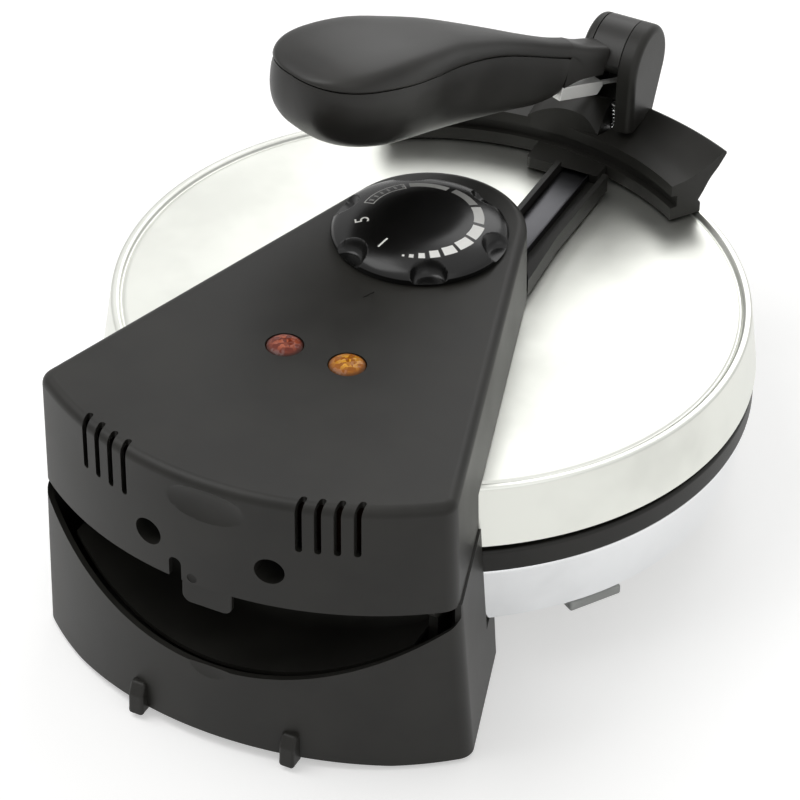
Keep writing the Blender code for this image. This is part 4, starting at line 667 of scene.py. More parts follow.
# Base: the black ring, the bright skirt, the pan, the lower cooking plate, legs and pads
base = {
    "lowerFace": -0.0315, "ringTop": -0.0315, "ringLow": -0.0422, "ringRadius": 0.1455,
    "ringInner": 0.1285, "skirtTop": -0.0425, "skirtLow": -0.0727, "taper": 0.0049, "lip": 0.0065,
    "table": -0.104, "leg": (0.075, -0.088), "legRadius": 0.011, "legTaper": 0.0022, "pad": 0.0034,
    "rearPad": (0.085, 0.160), "rearPadRadius": 0.0085, "pegRadius": 0.0018, "pegTall": 0.0042,
    "bumper": (0.112, 0.072), "bumperSize": (0.026, 0.008, 0.0048), "bumperEdge": 0.0012,
    "panThick": 0.0015, "panStep": 0.004,
}


def makeBaseRing():
    top = base["ringTop"]
    low = base["ringLow"]
    ledge = base["lowerFace"] - lid["plateDeep"] + lid["flange"][1] + hair
    seat = lid["plateRadius"] + lid["flange"][0] + hair
    points = [(base["ringInner"], top), (base["ringRadius"], top), (base["ringRadius"], low), (seat, low),
              (seat, ledge), (base["ringInner"], ledge)]
    return turned("baseRing", fillet(points, [0.0006, 0.0018, 0.0004, 0, 0, 0], 6), lid["steps"])


def makeBaseSkirt():
    thick = lid["sheet"]
    top = base["skirtTop"]
    low = base["skirtLow"]
    outer = base["ringRadius"] - hair
    foot = outer - base["taper"]
    inner = lid["plateRadius"] + hair
    points = [
        (inner, top), (outer, top), (outer, top - thick), (foot, low), (foot - base["lip"], low),
        (foot - base["lip"], low + thick), (foot - thick, low + thick),
        (outer - thick * 1.2, top - thick * 1.3), (inner, top - thick),
    ]
    return turned("baseSkirt", fillet(points, [0, 0.0007, 0.003, 0.001, 0.0004, 0.0004, 0, 0, 0], 5),
                  lid["steps"])


def makePan():
    low = base["skirtLow"] + lid["sheet"] + hair
    high = low + base["panThick"]
    drop = lid["sheet"]
    outer = base["ringRadius"] - hair - base["taper"] - lid["sheet"] - 2 * hair
    inner = outer - base["lip"] - base["panStep"]
    points = [(0, high - drop), (inner, high - drop), (inner + drop, high), (outer, high), (outer, low),
              (inner + drop * 1.5, low), (inner + drop / 2, low - drop), (0, low - drop)]
    return turned("bottomPan", fillet(points, [0, 0.001, 0.001, 0, 0, 0.001, 0.001, 0], 4, False),
                  lid["steps"])


def makeLeg(side, name):
    x, y = base["leg"]
    top = base["skirtLow"]
    low = base["table"] + base["pad"] + hair
    foot = base["legRadius"] - base["legTaper"]
    rim = lid["sheet"]
    pocket = low + base["pad"] / 2
    leg = [(0, top), (base["legRadius"], top), (foot, low), (foot - rim, low), (foot - rim, pocket),
           (0, pocket)]
    legPiece = turned("frontLeg" + name, fillet(leg, [0, 0.0008, 0.0008, 0.0003, 0, 0], 4, False), 72)
    pad = [(0, pocket - hair), (foot - rim - hair, pocket - hair), (foot - rim - hair, base["table"]),
           (0, base["table"])]
    padPiece = turned("frontPad" + name, fillet(pad, [0, 0, 0.0012, 0], 6, False), 72)
    place = lidOrigin + Vector((side * x, y, 0))
    fitted(legPiece, "base", blackPlastic, ["front_leg_" + name.lower()], at=place)
    fitted(padPiece, "base", padRubber, ["front_pad_" + name.lower()], at=place)


def makeRearPad(side, name):
    x, y = base["rearPad"]
    top = plan["low"] - hair
    radius = base["rearPadRadius"]
    peg = base["pegRadius"]
    high = top + base["pegTall"]
    points = [(0, high), (peg, high), (peg, top), (radius, top), (radius, base["table"]), (0, base["table"])]
    pad = turned("rearPad" + name, fillet(points, [0, 0.0004, 0, 0.0004, 0.0006, 0], 5, False), 72)
    fitted(pad, "base", padRubber, ["rear_pad_" + name.lower()], at=lidOrigin + Vector((side * x, y, 0)))


def makeBumper(side, name):
    wide, deep, tall = base["bumperSize"]
    top = base["skirtLow"] - hair
    piece = boxed("sideBumper" + name, (-wide / 2, -deep / 2, top - tall), (wide / 2, deep / 2, top),
                  base["bumperEdge"])
    x, y = base["bumper"]
    reach = base["ringRadius"] - base["taper"] - deep / 2 - hair
    heading = math.atan2(y, side * x)
    piece.data.transform(Matrix.Translation(around(reach, heading, 0))
                         @ Matrix.Rotation(heading - math.pi / 2, 4, "Z"))
    fitted(piece, "base", greyRubber, ["side_bumper_" + name.lower()])


fitted(makeBaseRing(), "base", blackPlastic, ["base_ring"])
fitted(makeBaseSkirt(), "base", skirtSteel, ["base_skirt"])
fitted(makePan(), "base", platedSteel, ["bottom_pan"])
fitted(turned("lowerCookingPlate", plateProfile(base["lowerFace"], -1), lid["steps"]), "base", castGrey,
       ["lower_cooking_plate"])
for side, name in ((1, "Left"), (-1, "Right")):
    makeLeg(side, name)
    makeRearPad(side, name)
    makeBumper(side, name)
print("base made")

# Hinge, shared by both housings
hinge = {"y": 0.172, "ear": 0.007, "hole": 0.0033, "x": 0.080, "thick": 0.004, "post": 0.014}


def hingeRod(side, near, far):
    return rod("hingeHole", hinge["hole"], "X", (side * (near + far) / 2, hinge["y"], plan["seam"]),
               far - near)


# Upper housing
upper = {
    "rounding": 0.0045, "roundSteps": 8, "ceiling": 0.036, "roomGap": 0.0005, "soft": 0.0004,
    "ventWidth": 0.0028, "ventPitch": 0.0075, "ventCount": 4, "ventX": 0.040, "ventDrop": 0.0245,
    "ventReach": 0.0065, "wellX": 0.0279, "wellZ": 0.0014, "wellRadius": 0.0064, "wellDepth": 0.015,
    "dishHalf": (0.0300, 0.0044, 0.0100), "dishDepth": 0.0019, "dishZ": 0.0265,
    "tongueWide": 0.0230, "tongueDrop": 0.0105, "tongueEdge": 0.0006, "dimple": (0.0066, 0.0030, 0.0026),
    "notchWide": 0.006, "notchTall": 0.0105, "lampX": 0.0147, "lampY": 0.1133, "lampRadius": 0.008,
    "tick": (-0.0012, 0.0650), "tickSize": 0.0024, "tickDeep": 0.0004,
}
knob = {
    "y": 0.0145, "radius": 0.039, "low": 0.0395, "edge": 0.0045, "dome": 0.0105, "notches": 6,
    "notchTurn": 122.0, "notchRadius": 0.0098, "notchOut": 0.0005, "notchFloor": 0.0010, "notchPower": 9,
    "notchBlend": 0.00035, "socket": 0.0033, "socketTop": 0.0082, "footIn": 0.0006, "shaftHole": 0.0036,
    "rings": 128, "steps": 480, "numeralAt": 0.0252, "numeralSize": 0.0090, "inkLift": 0.00008,
    "numerals": (("1", 77.0), ("5", 33.0)),
}
spine = {
    "x": -0.0235, "wide": 0.026, "tall": 0.009, "wall": 0.0025, "floor": 0.0018, "flare": 0.004,
    "flareFrom": -0.0535, "front": -0.110, "soft": 0.0005, "strapWide": 0.0135, "strapThick": 0.002,
    "strapX": -0.020, "strapZ": 0.0024, "rail": 0.0012, "strapAhead": 0.0065, "strapBack": -0.0128,
    "slotFront": -0.0556, "slotAhead": 0.0071,
}
strapTop = spine["strapZ"] + spine["strapThick"] + spine["rail"]


def makeVent(x):
    y = rearY(x)
    half = upper["ventWidth"] / 2
    over = plan["cutOver"]
    high = plan["top"] + over
    low = plan["top"] - upper["ventDrop"]
    down = [(x - half, high)] + arc((x, low + half), half, 180, 360, 12) + [(x + half, high)]
    back = y - upper["ventReach"]
    inward = [(x - half, y + over)] + arc((x, back + half), half, 180, 360, 12) + [(x + half, y + over)]
    return [slab("ventDown", down, back + half, y + over, "Y"),
            slab("ventInward", inward, low + half, high)]


def makeTongue():
    y = rearY(0, -plan["upperOut"])
    x = upper["tongueWide"] / 2
    low = plan["seam"] - upper["tongueDrop"]
    high = plan["seam"] + plan["wall"]
    outline = fillet([(-x, high), (-x, low), (x, low), (x, high)], [0, 0.0042, 0.0042, 0], 8)
    return slab("tongue", outline, y - plan["wall"], y - hair, "Y", upper["tongueEdge"])


def makeDimple():
    x, z, radius = upper["dimple"]
    y = rearY(x, -plan["upperOut"]) - hair
    return egg("dimple", (radius, radius / 3, radius), (x, y, plan["seam"] + z))


def makeNotch():
    x = upper["tongueWide"] / 2 + hair
    y = rearY(0)
    wide = upper["notchWide"]
    low = plan["seam"] - plan["cutOver"]
    high = plan["seam"] + upper["notchTall"]
    outline = fillet([(x, low), (x + wide, low), (x + wide, high), (x, high)], [0, 0, 0.0029, 0.0029], 8)
    return slab("notch", outline, y - plan["wall"] * 4, y + plan["cutOver"], "Y")


def makeLidEar(side):
    radius = hinge["ear"]
    near = hinge["x"] + hinge["thick"] + 2 * hair
    y = hinge["y"]
    z = plan["seam"]
    outline = arc((y, z), radius, -180, 0, 20) + [(y + radius, z + radius * 4), (y - radius, z + radius * 4)]
    ear = slab("lidEar", outline, *sorted((side * near, side * (near + hinge["thick"]))), "X")
    ends = sorted((side * (near + hinge["thick"] / 2), side * (sideX(y) - plan["wall"] / 2)))
    web = boxed("lidEarWeb", (ends[0], y - radius * 0.8, z + radius * 0.5),
                (ends[1], y + radius * 0.2, z + radius * 3.4))
    return change(ear, [web], "UNION")


def makeWell(side):
    radius = upper["wellRadius"] + plan["wall"] * 0.8
    front = rearY(upper["wellX"]) - upper["wellDepth"] - plan["wall"]
    back = rearY(upper["wellX"] + radius) - plan["wall"] / 2
    return rod("well", radius, "Y", (side * upper["wellX"], (front + back) / 2, upper["wellZ"]), back - front)


def makeTick():
    # a small arrowhead by the knob, pointing at its scale
    x, y = upper["tick"]
    size = upper["tickSize"]
    outline = [(x, y - size * 1.5), (x + size, y + size), (x, y + size * 0.4), (x - size, y + size)]
    return slab("tick", outline, plan["top"] - upper["tickDeep"], plan["top"] + plan["cutOver"])


def makeUpperHousing():
    top = plan["top"]
    seam = plan["seam"]
    wall = plan["wall"]
    bend = top - upper["rounding"]
    sections = [laid(wedgeOutline(*upperGrowth(z), wall), z) for z in (upper["ceiling"], seam)]
    sections += [laid(wedgeOutline(*upperGrowth(z)), z) for z in (seam, 0, bend)]
    for i in range(1, upper["roundSteps"] + 1):
        a = math.pi / 2 * i / upper["roundSteps"]
        z = bend + upper["rounding"] * math.sin(a)
        sections.append(laid(wedgeOutline(*upperGrowth(z), upper["rounding"] * (1 - math.cos(a))), z))
    body = lofted("upperHousing", sections)
    change(body, doubled(makeWell) + [makeTongue()] + doubled(makeLidEar), "UNION")
    radius = lid["skirtRadius"] + upper["roomGap"]
    room = turned("lidRoom", [(0, hair), (radius, hair), (radius, seam * 3), (0, seam * 3)], lid["steps"])
    dish = egg("dish", upper["dishHalf"], (0, rearY(0) + upper["dishDepth"], upper["dishZ"]))
    half = spine["strapWide"] / 2 + 2 * hair
    slot = boxed("strapSlot", (spine["strapX"] - half, spine["slotFront"], 0),
                 (spine["strapX"] + half, 0, strapTop + 2 * hair))
    shaft = rod("shaftHole", knob["shaftHole"], "Z", (0, knob["y"], top), plan["holeLong"])
    cuts = [room, dish, makeNotch(), makeDimple(), slot, shaft, makeTick()]
    for i in range(upper["ventCount"]):
        for side in (1, -1):
            cuts += makeVent(side * (upper["ventX"] + i * upper["ventPitch"]))
    wellY = rearY(upper["wellX"]) - upper["wellDepth"]
    earSide = hinge["x"] + hinge["thick"]
    for side in (1, -1):
        x = side * upper["wellX"]
        cuts += [
            rod("wellHole", upper["wellRadius"], "Y", (x, wellY + upper["wellDepth"], upper["wellZ"]),
                upper["wellDepth"] * 2, steps=72),
            rod("wellScrewHole", plan["screwHole"], "Y", (x, wellY, upper["wellZ"]), wall * 4),
            rod("lampHole", upper["lampRadius"] + hair, "Z", (side * upper["lampX"], upper["lampY"], top),
                plan["holeLong"], steps=72),
            hingeRod(side, earSide, earSide + hinge["thick"] + plan["cutOver"]),
        ]
    return softened(cleaned(change(body, cuts)), upper["soft"])


fitted(makeUpperHousing(), "lid", blackPlastic, ["upper_housing"])
print("upper housing made")

# Rear base housing and the shield behind the hinge
lower = {
    "front": 0.100, "deck": -0.073, "deckThick": 0.003, "clearance": 0.0035, "reach": 0.216, "soft": 0.0006,
    "roomGap": 0.001, "roomTop": 0.0143, "mouthAhead": 0.0012, "deckHole": (0.060, 0.0154),
    "archHalf": 0.078, "archRise": 0.0035, "archSteps": 24,
    "ribX": 0.036, "ribWide": 0.007, "ribDeep": 0.0055, "ribTall": 0.016, "ribEdge": 0.0014,
    "facet": (0.0185, 0.0044, 0.0105), "facetOut": 0.0034,
    "shieldFront": 0.151, "shieldThick": 0.002, "shieldDrop": 0.001, "shieldGap": 0.002,
    "shieldBend": 0.35, "shieldRows": 60,
}


def smileHeight(y):
    return plan["seam"] - max(y - hinge["y"], 0) - lower["clearance"]


def makeRib(side):
    y = rearY(lower["ribX"], plan["footRear"])
    top = plan["low"] + lower["ribTall"]
    deep = lower["ribDeep"]
    wall = plan["wall"]
    outline = fillet([
        (y - wall, top), (y + deep / 2, top), (y + deep, top - deep), (y + deep, plan["low"] + hair),
        (y - wall, plan["low"] + hair),
    ], [0, 0.002, 0.003, 0.0008, 0], 5)
    x = side * lower["ribX"]
    half = lower["ribWide"] / 2
    return slab("rib", outline, x - half, x + half, "X", lower["ribEdge"])


def makeBaseEar(side):
    radius = hinge["ear"]
    low = lower["deck"] - lower["deckThick"] / 2
    y = hinge["y"]
    z = plan["seam"]
    outline = arc((y, z), radius, -90, 90, 20) + [
        (y - radius * 2.6, z + radius), (y - radius * 3, z + radius * 0.5), (y - radius * 3, low),
        (y - radius * 3 + hinge["post"], low), (y - radius, z - radius * 1.6),
    ]
    return slab("baseEar", outline, *sorted((side * hinge["x"], side * (hinge["x"] + hinge["thick"]))), "X")


def makePadBoss(side):
    height = lower["deck"] - lower["deckThick"] / 2 - plan["low"]
    x, y = base["rearPad"]
    return rod("padBoss", base["rearPadRadius"], "Z", (side * x, y, plan["low"] + height / 2), height)


def makeRearHousing():
    wall = plan["wall"]
    low = plan["low"]
    top = plan["seam"] - hair
    over = plan["cutOver"]
    deck = lower["deck"]

    def section(z, inset=0.0):
        return laid(blockOutline(*lowerGrowth(z), lower["front"], inset), z)

    body = lofted("rearBaseHousing", [
        section(deck - lower["deckThick"], wall), section(low, wall), section(low, hair),
        section(low + hair), section((low + top) / 2), section(top), section(top, wall), section(deck, wall),
    ])
    radius = lid["skirtRadius"] + lower["roomGap"]
    high = lower["roomTop"]
    room = turned("baseRoom", [(0, high), (radius, high), (radius, deck), (0, deck)], lid["steps"])
    smile = [(x, smileHeight(y)) for x, y in rearOutline(plan["lowerSide"][0], 0)[1:-1]]
    above = plan["seam"] + over
    reach = smile[0][0] + plan["corner"]
    outline = [(reach, above), (reach, smile[0][1]), *smile, (-reach, smile[0][1]), (-reach, above)]
    mouth = slab("smile", outline, hinge["y"] - lower["mouthAhead"], lower["reach"], "Y")
    count = lower["archSteps"]
    half = lower["archHalf"]
    arch = [(half * i / count, low + lower["archRise"] * (1 - (i / count) ** 2))
            for i in range(-count, count + 1)]
    arch += [(half, low - over), (-half, low - over)]
    archCut = slab("archCut", arch, rearY(half, plan["footRear"]) - wall * 2, lower["reach"], "Y")
    change(body, [room, mouth, archCut])
    change(body, doubled(makeRib) + doubled(makeBaseEar) + doubled(makePadBoss), "UNION")
    z = smileHeight(rearY(0))
    cuts = [egg("smileDish", lower["facet"], (0, rearY(0, lowerGrowth(z)[1]) + lower["facetOut"], z))]
    padX, padY = base["rearPad"]
    deckX, deckY = lower["deckHole"]
    for side in (1, -1):
        cuts += [
            hingeRod(side, hinge["x"] - over, hinge["x"] + hinge["thick"] + over / 2),
            rod("padHole", plan["screwHole"], "Z", (side * padX, padY, low), wall * 4),
            rod("deckHole", plan["screwHole"], "Z", (side * deckX, lower["front"] + deckY, deck), wall * 4),
        ]
    return softened(cleaned(change(body, cuts)), lower["soft"])


def makeShield():
    half = hinge["x"] - hair
    thick = lower["shieldThick"]
    gap = lower["shieldGap"]
    front = lower["shieldFront"]
    top = plan["seam"] - gap
    sections = []
    for i in range(lower["shieldRows"] + 1):
        x = -half + 2 * half * i / lower["shieldRows"]
        low = smileHeight(rearY(x)) - thick - lower["shieldDrop"]
        back = rearY(x, plan["footRear"]) - plan["wall"] - 2 * hair - gap
        bend = (top - low) * lower["shieldBend"]
        centre = (front + thick + bend, low + thick + bend)
        inside = [(back, low + thick)] + arc(centre, bend, 270, 180, 8) + [(front + thick, top)]
        outside = [(front, top)] + arc(centre, bend + thick, 180, 270, 8) + [(back, low)]
        sections.append(laid(inside + outside, x, "X"))
    return lofted("innerShield", sections)


fitted(makeRearHousing(), "base", blackPlastic, ["rear_base_housing"])
fitted(makeShield(), "base", blackPlastic, ["inner_shield"])
print("rear base housing made")


# Knob: a smooth dome with half-moon finger dents round its rim
def softLeast(a, b, blend):
    # the lesser of two heights, eased into each other
    mix = min(max(0.5 + 0.5 * (b - a) / blend, 0), 1)
    return b + (a - b) * mix - blend * mix * (1 - mix)


def tableRow(rows, at):
    # the row of a table where its first column has the value asked for
    for one, two in zip(rows, rows[1:]):
        if at <= two[0]:
            share = (at - one[0]) / (two[0] - one[0])
            return [a + (b - a) * share for a, b in zip(one, two)]
    return list(rows[-1])


rim = knob["radius"]
rise = knob["dome"] - knob["edge"]
domeTable = smoothLine([
    (0, knob["dome"]), (rim * 0.25, knob["dome"] - rise * 0.012), (rim * 0.50, knob["dome"] - rise * 0.06),
    (rim * 0.72, knob["dome"] - rise * 0.28), (rim * 0.88, knob["edge"] + rise * 0.36),
    (rim * 0.96, knob["edge"] + rise * 0.02), (rim, knob["edge"] * 0.5),
], 10)


def knobHeight(x, y):
    height = tableRow(domeTable, math.hypot(x, y))[1]
    for i in range(knob["notches"]):
        a = math.radians(knob["notchTurn"] + 360 / knob["notches"] * i)
        away = math.dist((x, y), around(rim + knob["notchOut"], a))
        if away < knob["notchRadius"]:
            scoop = knob["notchFloor"] + knob["dome"] * (away / knob["notchRadius"]) ** knob["notchPower"]
            height = softLeast(height, scoop, knob["notchBlend"])
    return height


def makeKnob():
    turns = [math.tau * i / knob["steps"] for i in range(knob["steps"])]
    rings = [[(0, 0, knobHeight(0, 0))]]
    for k in range(1, knob["rings"] + 1):
        flat = [around(rim * k / knob["rings"], a) for a in turns]
        rings.append([(x, y, knobHeight(x, y)) for x, y in flat])
    hole = knob["socket"]
    deep = knob["socketTop"]
    for radius, height in ((rim - knob["footIn"], 0), (hole, 0), (hole, deep)):
        rings.append([around(radius, a, height) for a in turns])
    rings.append([(0, 0, deep)])
    return stitched("controlKnob", rings, 50)


def makeNumeral(text, turn):
    curve = bpy.data.curves.new("numeral" + text, "FONT")
    curve.body = text
    curve.size = knob["numeralSize"]
    curve.align_x = "CENTER"
    curve.align_y = "CENTER"
    curve.resolution_u = 6
    holder = linked("numeralHolder", curve)
    graph = bpy.context.evaluated_depsgraph_get()
    mesh = bpy.data.meshes.new_from_object(holder.evaluated_get(graph))
    bpy.data.objects.remove(holder)
    # its top points outwards, as the scale is read from the front
    a = math.radians(turn)
    mesh.transform(Matrix.Translation(around(knob["numeralAt"], a, 0))
                   @ Matrix.Rotation(a - math.pi / 2, 4, "Z"))

    def drape(shape):
        bmesh.ops.triangulate(shape, faces=shape.faces[:])
        bmesh.ops.subdivide_edges(shape, edges=shape.edges[:], cuts=2, use_grid_fill=True)
        for vert in shape.verts:
            vert.co.z = knobHeight(vert.co.x, vert.co.y) + knob["inkLift"]

    reworked(mesh, drape)
    return linked("numeral" + text, mesh)


knobPlace = lidOrigin + Vector((0, knob["y"], knob["low"]))
fitted(makeKnob(), "knob", knobFinish(knobMarks), ["control_knob"], at=knobPlace)
inkWhite = rubberFinish("whiteInk", (0.78, 0.78, 0.74))
for text, turn in knob["numerals"]:
    fitted(makeNumeral(text, turn), "knob", inkWhite, at=knobPlace)
print("knob made")

# Lamp lenses
lamp = {"dome": 0.0019, "flange": 0.0015, "foot": -0.0048, "flangeTop": -0.0033}


def makeLens(side, node, name, finish):
    radius = upper["lampRadius"]
    dome = smoothLine([(0, lamp["dome"]), (radius * 0.45, lamp["dome"] * 0.86),
                       (radius * 0.8, lamp["dome"] * 0.42), (radius, -lamp["dome"] * 0.25)], 8)
    points = dome + [(radius, lamp["flangeTop"]), (radius + lamp["flange"], lamp["flangeTop"]),
                     (radius + lamp["flange"], lamp["foot"]), (0, lamp["foot"])]
    place = lidOrigin + Vector((side * upper["lampX"], upper["lampY"], plan["top"]))
    fitted(turned(name, points, 96), "lid", finish, [node], at=place)


makeLens(1, "lamp_lens_power", "lampLensPower",
         lensFinish("redLens", (0.030, 0.009, 0.005), (0.140, 0.022, 0.010), (0.46, 0.12, 0.06)))
makeLens(-1, "lamp_lens_ready", "lampLensReady",
         lensFinish("amberLens", (0.090, 0.030, 0.004), (0.300, 0.090, 0.003), (0.74, 0.36, 0.04)))


# Spine channel and the pressure strap that lies in it
def makeSpine():
    left = spine["x"] + spine["wide"] / 2
    right = spine["x"] - spine["wide"] / 2
    front = spine["front"] + hair
    over = plan["cutOver"]
    body = slab("spineChannel", [(right, front), (left, front), (left, 0), (right - spine["flare"], 0),
                                 (right, spine["flareFrom"])], hair, spine["tall"])
    groove = boxed("spineGroove", (right + spine["wall"], front - over, hair + spine["floor"]),
                   (left - spine["wall"], 0, spine["tall"] + over))
    room = slab("noseRoom", wedgeOutline(*upperGrowth(0), -hair), -over, spine["tall"] + over)
    return softened(cleaned(change(body, [groove, room])), spine["soft"])


def makeStrap():
    half = spine["strapWide"] / 2
    thick = spine["strapThick"]
    rail = spine["rail"]
    outline = fillet([(-half, 0), (half, 0), (half, thick), (rail - half, thick),
                      (rail / 2 - half, thick + rail), (-half, thick + rail)],
                     [0.0003, 0.0003, 0.0005, 0.0004, 0.0003, 0.0003], 3)
    outline = [(spine["strapX"] + x, spine["strapZ"] + z) for x, z in outline]
    return slab("pressureStrap", outline, spine["front"] - spine["strapAhead"], spine["strapBack"], "Y")


fitted(makeSpine(), "lid", blackPlastic, ["spine_channel"])
fitted(makeStrap(), "lid", strapSteelPaintedDark, ["pressure_strap"])
print("spine made")

# Front bracket: a curved flange and wing, with the boss that the pivot stands in
bracket = {
    "radius": 0.124, "halfAngle": 35.2, "steps": 90, "flangeTall": 0.0065, "flangeReach": 0.016,
    "wingReach": 0.0285, "wingLow": 0.013, "wingLip": 0.0055, "wingRise": 0.0115, "groove": 0.0032,
    "tabEdge": -0.110, "tabLeft": 0.005, "tabRight": -0.031, "centreShare": 0.55, "bossLeft": 0.011,
    "bossRight": -0.0245, "bossRise": 0.0165, "bossFace": -0.1237, "bossDeep": 0.0155,
    "pocketFloor": 0.0140, "pocketWide": 0.0068, "soft": 0.0005, "tabRoot": -0.128, "seatFront": -0.1685,
    # the wing's section, each point a share of its reach and rise
    "wingTop": ((0.0, 0.0), (0.36, 0.16), (0.68, 0.52), (0.92, 0.93)),
    "wingTip": ((0.962, 0.985), (0.992, 0.955)),
    "wingUnder": ((1.0, 0.86), (0.86, 0.32), (0.72, -0.12), (0.60, -0.66)),
}
# the boss's crest from left to right, at its face, middle and back
bossCrests = (
    ((0, 0.06), (0.2, 0.36), (0.48, 0.58), (0.79, 0.52), (1, 0.03)),
    ((0, 0.12), (0.2, 0.52), (0.48, 0.82), (0.79, 0.94), (1, 0.45)),
    ((0, 0.12), (0.2, 0.55), (0.48, 0.85), (0.79, 1), (1, 0.67)),
)
pivot = {
    "y": -0.145, "z": 0.049, "ear": 0.0195, "rightX": -0.0400, "leftX": -0.0110, "rightThick": 0.0085,
    "leftThick": 0.0045, "rounding": 0.0035, "footDeep": 0.012, "pin": 0.003, "pinShare": 1.3,
    "boreLong": 0.056, "boss": 0.0075, "baseTall": 0.006, "levels": 9, "wingClear": 0.0043,
    "edge": 0.0004, "soft": 0.0004,
    # the crest of the web between the ears, measured from the pin, and how far back it reaches
    "webCrest": ((-0.0148, -0.0142), (-0.0110, -0.0172), (-0.0010, -0.0222)), "webShare": 0.4,
}
yokeSeat = bracket["wingLow"] + bracket["wingLip"]
bossBack = bracket["bossFace"] - bracket["bossDeep"]
footBack = bossBack - hair
hubLeft = pivot["leftX"] - pivot["leftThick"] - hair
hubRight = pivot["rightX"] + pivot["rightThick"] + hair
hubCentre = Vector(((hubLeft + hubRight) / 2, pivot["y"], pivot["z"]))
pinLength = hubLeft - hubRight + 2 * hair + pivot["leftThick"] * pivot["pinShare"]


def makeHubRoom():
    return rod("hubRoom", pivot["ear"] + hair, "X", hubCentre, hubLeft - hubRight + 2 * hair, steps=96)


def bracketSection(share):
    rise = bracket["wingRise"] * (bracket["centreShare"] + (1 - bracket["centreShare"]) * share ** 2)
    inner = bracket["radius"]
    outer = inner + bracket["flangeReach"]
    tall = bracket["flangeTall"]
    groove = inner + bracket["groove"]
    low = bracket["wingLow"]
    wing = [*smoothLine(bracket["wingTop"], 5), *bracket["wingTip"], *smoothLine(bracket["wingUnder"], 5)]
    start = [(inner, hair), (inner, tall), (groove, tall + hair), (groove, low - hair), (inner, low)]
    end = [(outer - tall / 4, tall), (outer - tall / 14, tall - tall / 14), (outer, tall * 0.75),
           (outer, hair)]
    wing = [(inner + bracket["wingReach"] * r, yokeSeat + rise * z) for r, z in wing]
    a = math.radians(-90 + bracket["halfAngle"] * share)
    return [around(r, a, z) for r, z in start + wing + end]


def makeTab():
    left, right, edge = bracket["tabLeft"], bracket["tabRight"], bracket["tabEdge"]
    outline = [(right, bracket["tabRoot"]), (right, edge), (left, edge), (left, bracket["tabRoot"])]
    return slab("tab", fillet(outline, [0, 0.0015, 0.0022, 0], 6), 2 * hair, bracket["flangeTall"] - hair)


def makeBoss():
    low = bracket["wingLow"] + hair
    left, right = bracket["bossLeft"], bracket["bossRight"]
    rows = []
    for depth, crest in zip((0, 0.5, 1), bossCrests):
        y = bracket["bossFace"] - bracket["bossDeep"] * depth
        top = [(left + (right - left) * share, y, yokeSeat + bracket["bossRise"] * r)
               for share, r in smoothLine(crest, 8)]
        rows.append([value for point in [(left, y, low)] + top + [(right, y, low)] for value in point])
    sections = [[row[i:i + 3] for i in range(0, len(row), 3)] for row in smoothLine(rows, 10)]
    return lofted("boss", sections, 50)


def makeBracket():
    steps = bracket["steps"]
    body = lofted("frontBracket", [bracketSection(2 * i / steps - 1) for i in range(steps + 1)], 32)
    change(body, [makeTab(), makeBoss()], "UNION")
    seat = boxed("yokeSeat", (pivot["rightX"] - hair, bracket["seatFront"], yokeSeat),
                 (pivot["leftX"] + hair, footBack + hair, pivot["z"]))
    left = bracket["bossRight"] + hair / 2
    right = bracket["bossRight"] - bracket["pocketWide"]
    pocket = slab("pocket", [(left, bracket["bossFace"] + hair), (right, bossBack), (right, footBack),
                             (left, footBack)], bracket["pocketFloor"], pivot["z"])
    half = spine["strapWide"] / 2 + hair
    x, y = spine["strapX"], spine["front"]
    end = boxed("strapEnd", (x - half, y - spine["slotAhead"], spine["strapZ"] - hair),
                (x + half, y + plan["cutOver"], strapTop + hair))
    return softened(cleaned(change(body, [seat, pocket, makeHubRoom(), end]), 32), bracket["soft"])


def earOutline(inset, straight):
    # the right ear's rear edge comes straight down behind the foot, clear of the wing
    radius = pivot["ear"] - inset
    back = footBack - hair - inset
    low = yokeSeat + hair
    ledge = yokeSeat + pivot["wingClear"]
    tail = [(back, ledge), (pivot["y"] + radius, ledge)]
    if not straight:
        tail = [(back, pivot["z"] - pivot["boss"] / 2),
                (pivot["y"] + radius * 0.62, pivot["z"] + radius * 0.22)]
    crown = arc((pivot["y"], pivot["z"]), radius, 0 if straight else 30, 212, 60)
    return crown + [(footBack - pivot["footDeep"] + inset, low), (back, low)] + tail


def makeEar(name, inner, outer, straight=False):
    way = math.copysign(1, outer - inner)
    levels = [(inner, 0.0)]
    for i in range(pivot["levels"] + 1):
        a = math.pi / 2 * i / pivot["levels"]
        levels.append((outer - way * pivot["rounding"] * (1 - math.sin(a)),
                       pivot["rounding"] * (1 - math.cos(a))))
    return lofted(name, [laid(earOutline(inset, straight), x, "X") for x, inset in levels])


def makeYoke():
    rightInner = pivot["rightX"] + pivot["rightThick"]
    leftInner = pivot["leftX"] - pivot["leftThick"]
    right = rightInner - plan["wall"]
    left = leftInner + 2 * hair
    front = footBack - pivot["footDeep"]
    low = yokeSeat + hair
    foot = boxed("yokeFoot", (right, front + hair, low + hair),
                 (left, footBack - 2 * hair, low + pivot["baseTall"]))
    back = footBack - pivot["footDeep"] * pivot["webShare"]
    crest = [(pivot["y"] + y, pivot["z"] + z) for y, z in pivot["webCrest"]]
    web = slab("yokeWeb", [(front + hair, low + hair)] + crest + [(back, crest[-1][1]), (back, low + hair)],
               right, left, "X")
    body = makeEar("pivotYoke", rightInner, pivot["rightX"], True)
    change(body, [makeEar("leftEar", leftInner, pivot["leftX"]), foot, web], "UNION")
    bore = rod("bore", pivot["pin"] + hair, "X", hubCentre, pinLength + 2 * hair)
    return softened(cleaned(change(body, [bore, makeHubRoom()])), pivot["soft"])


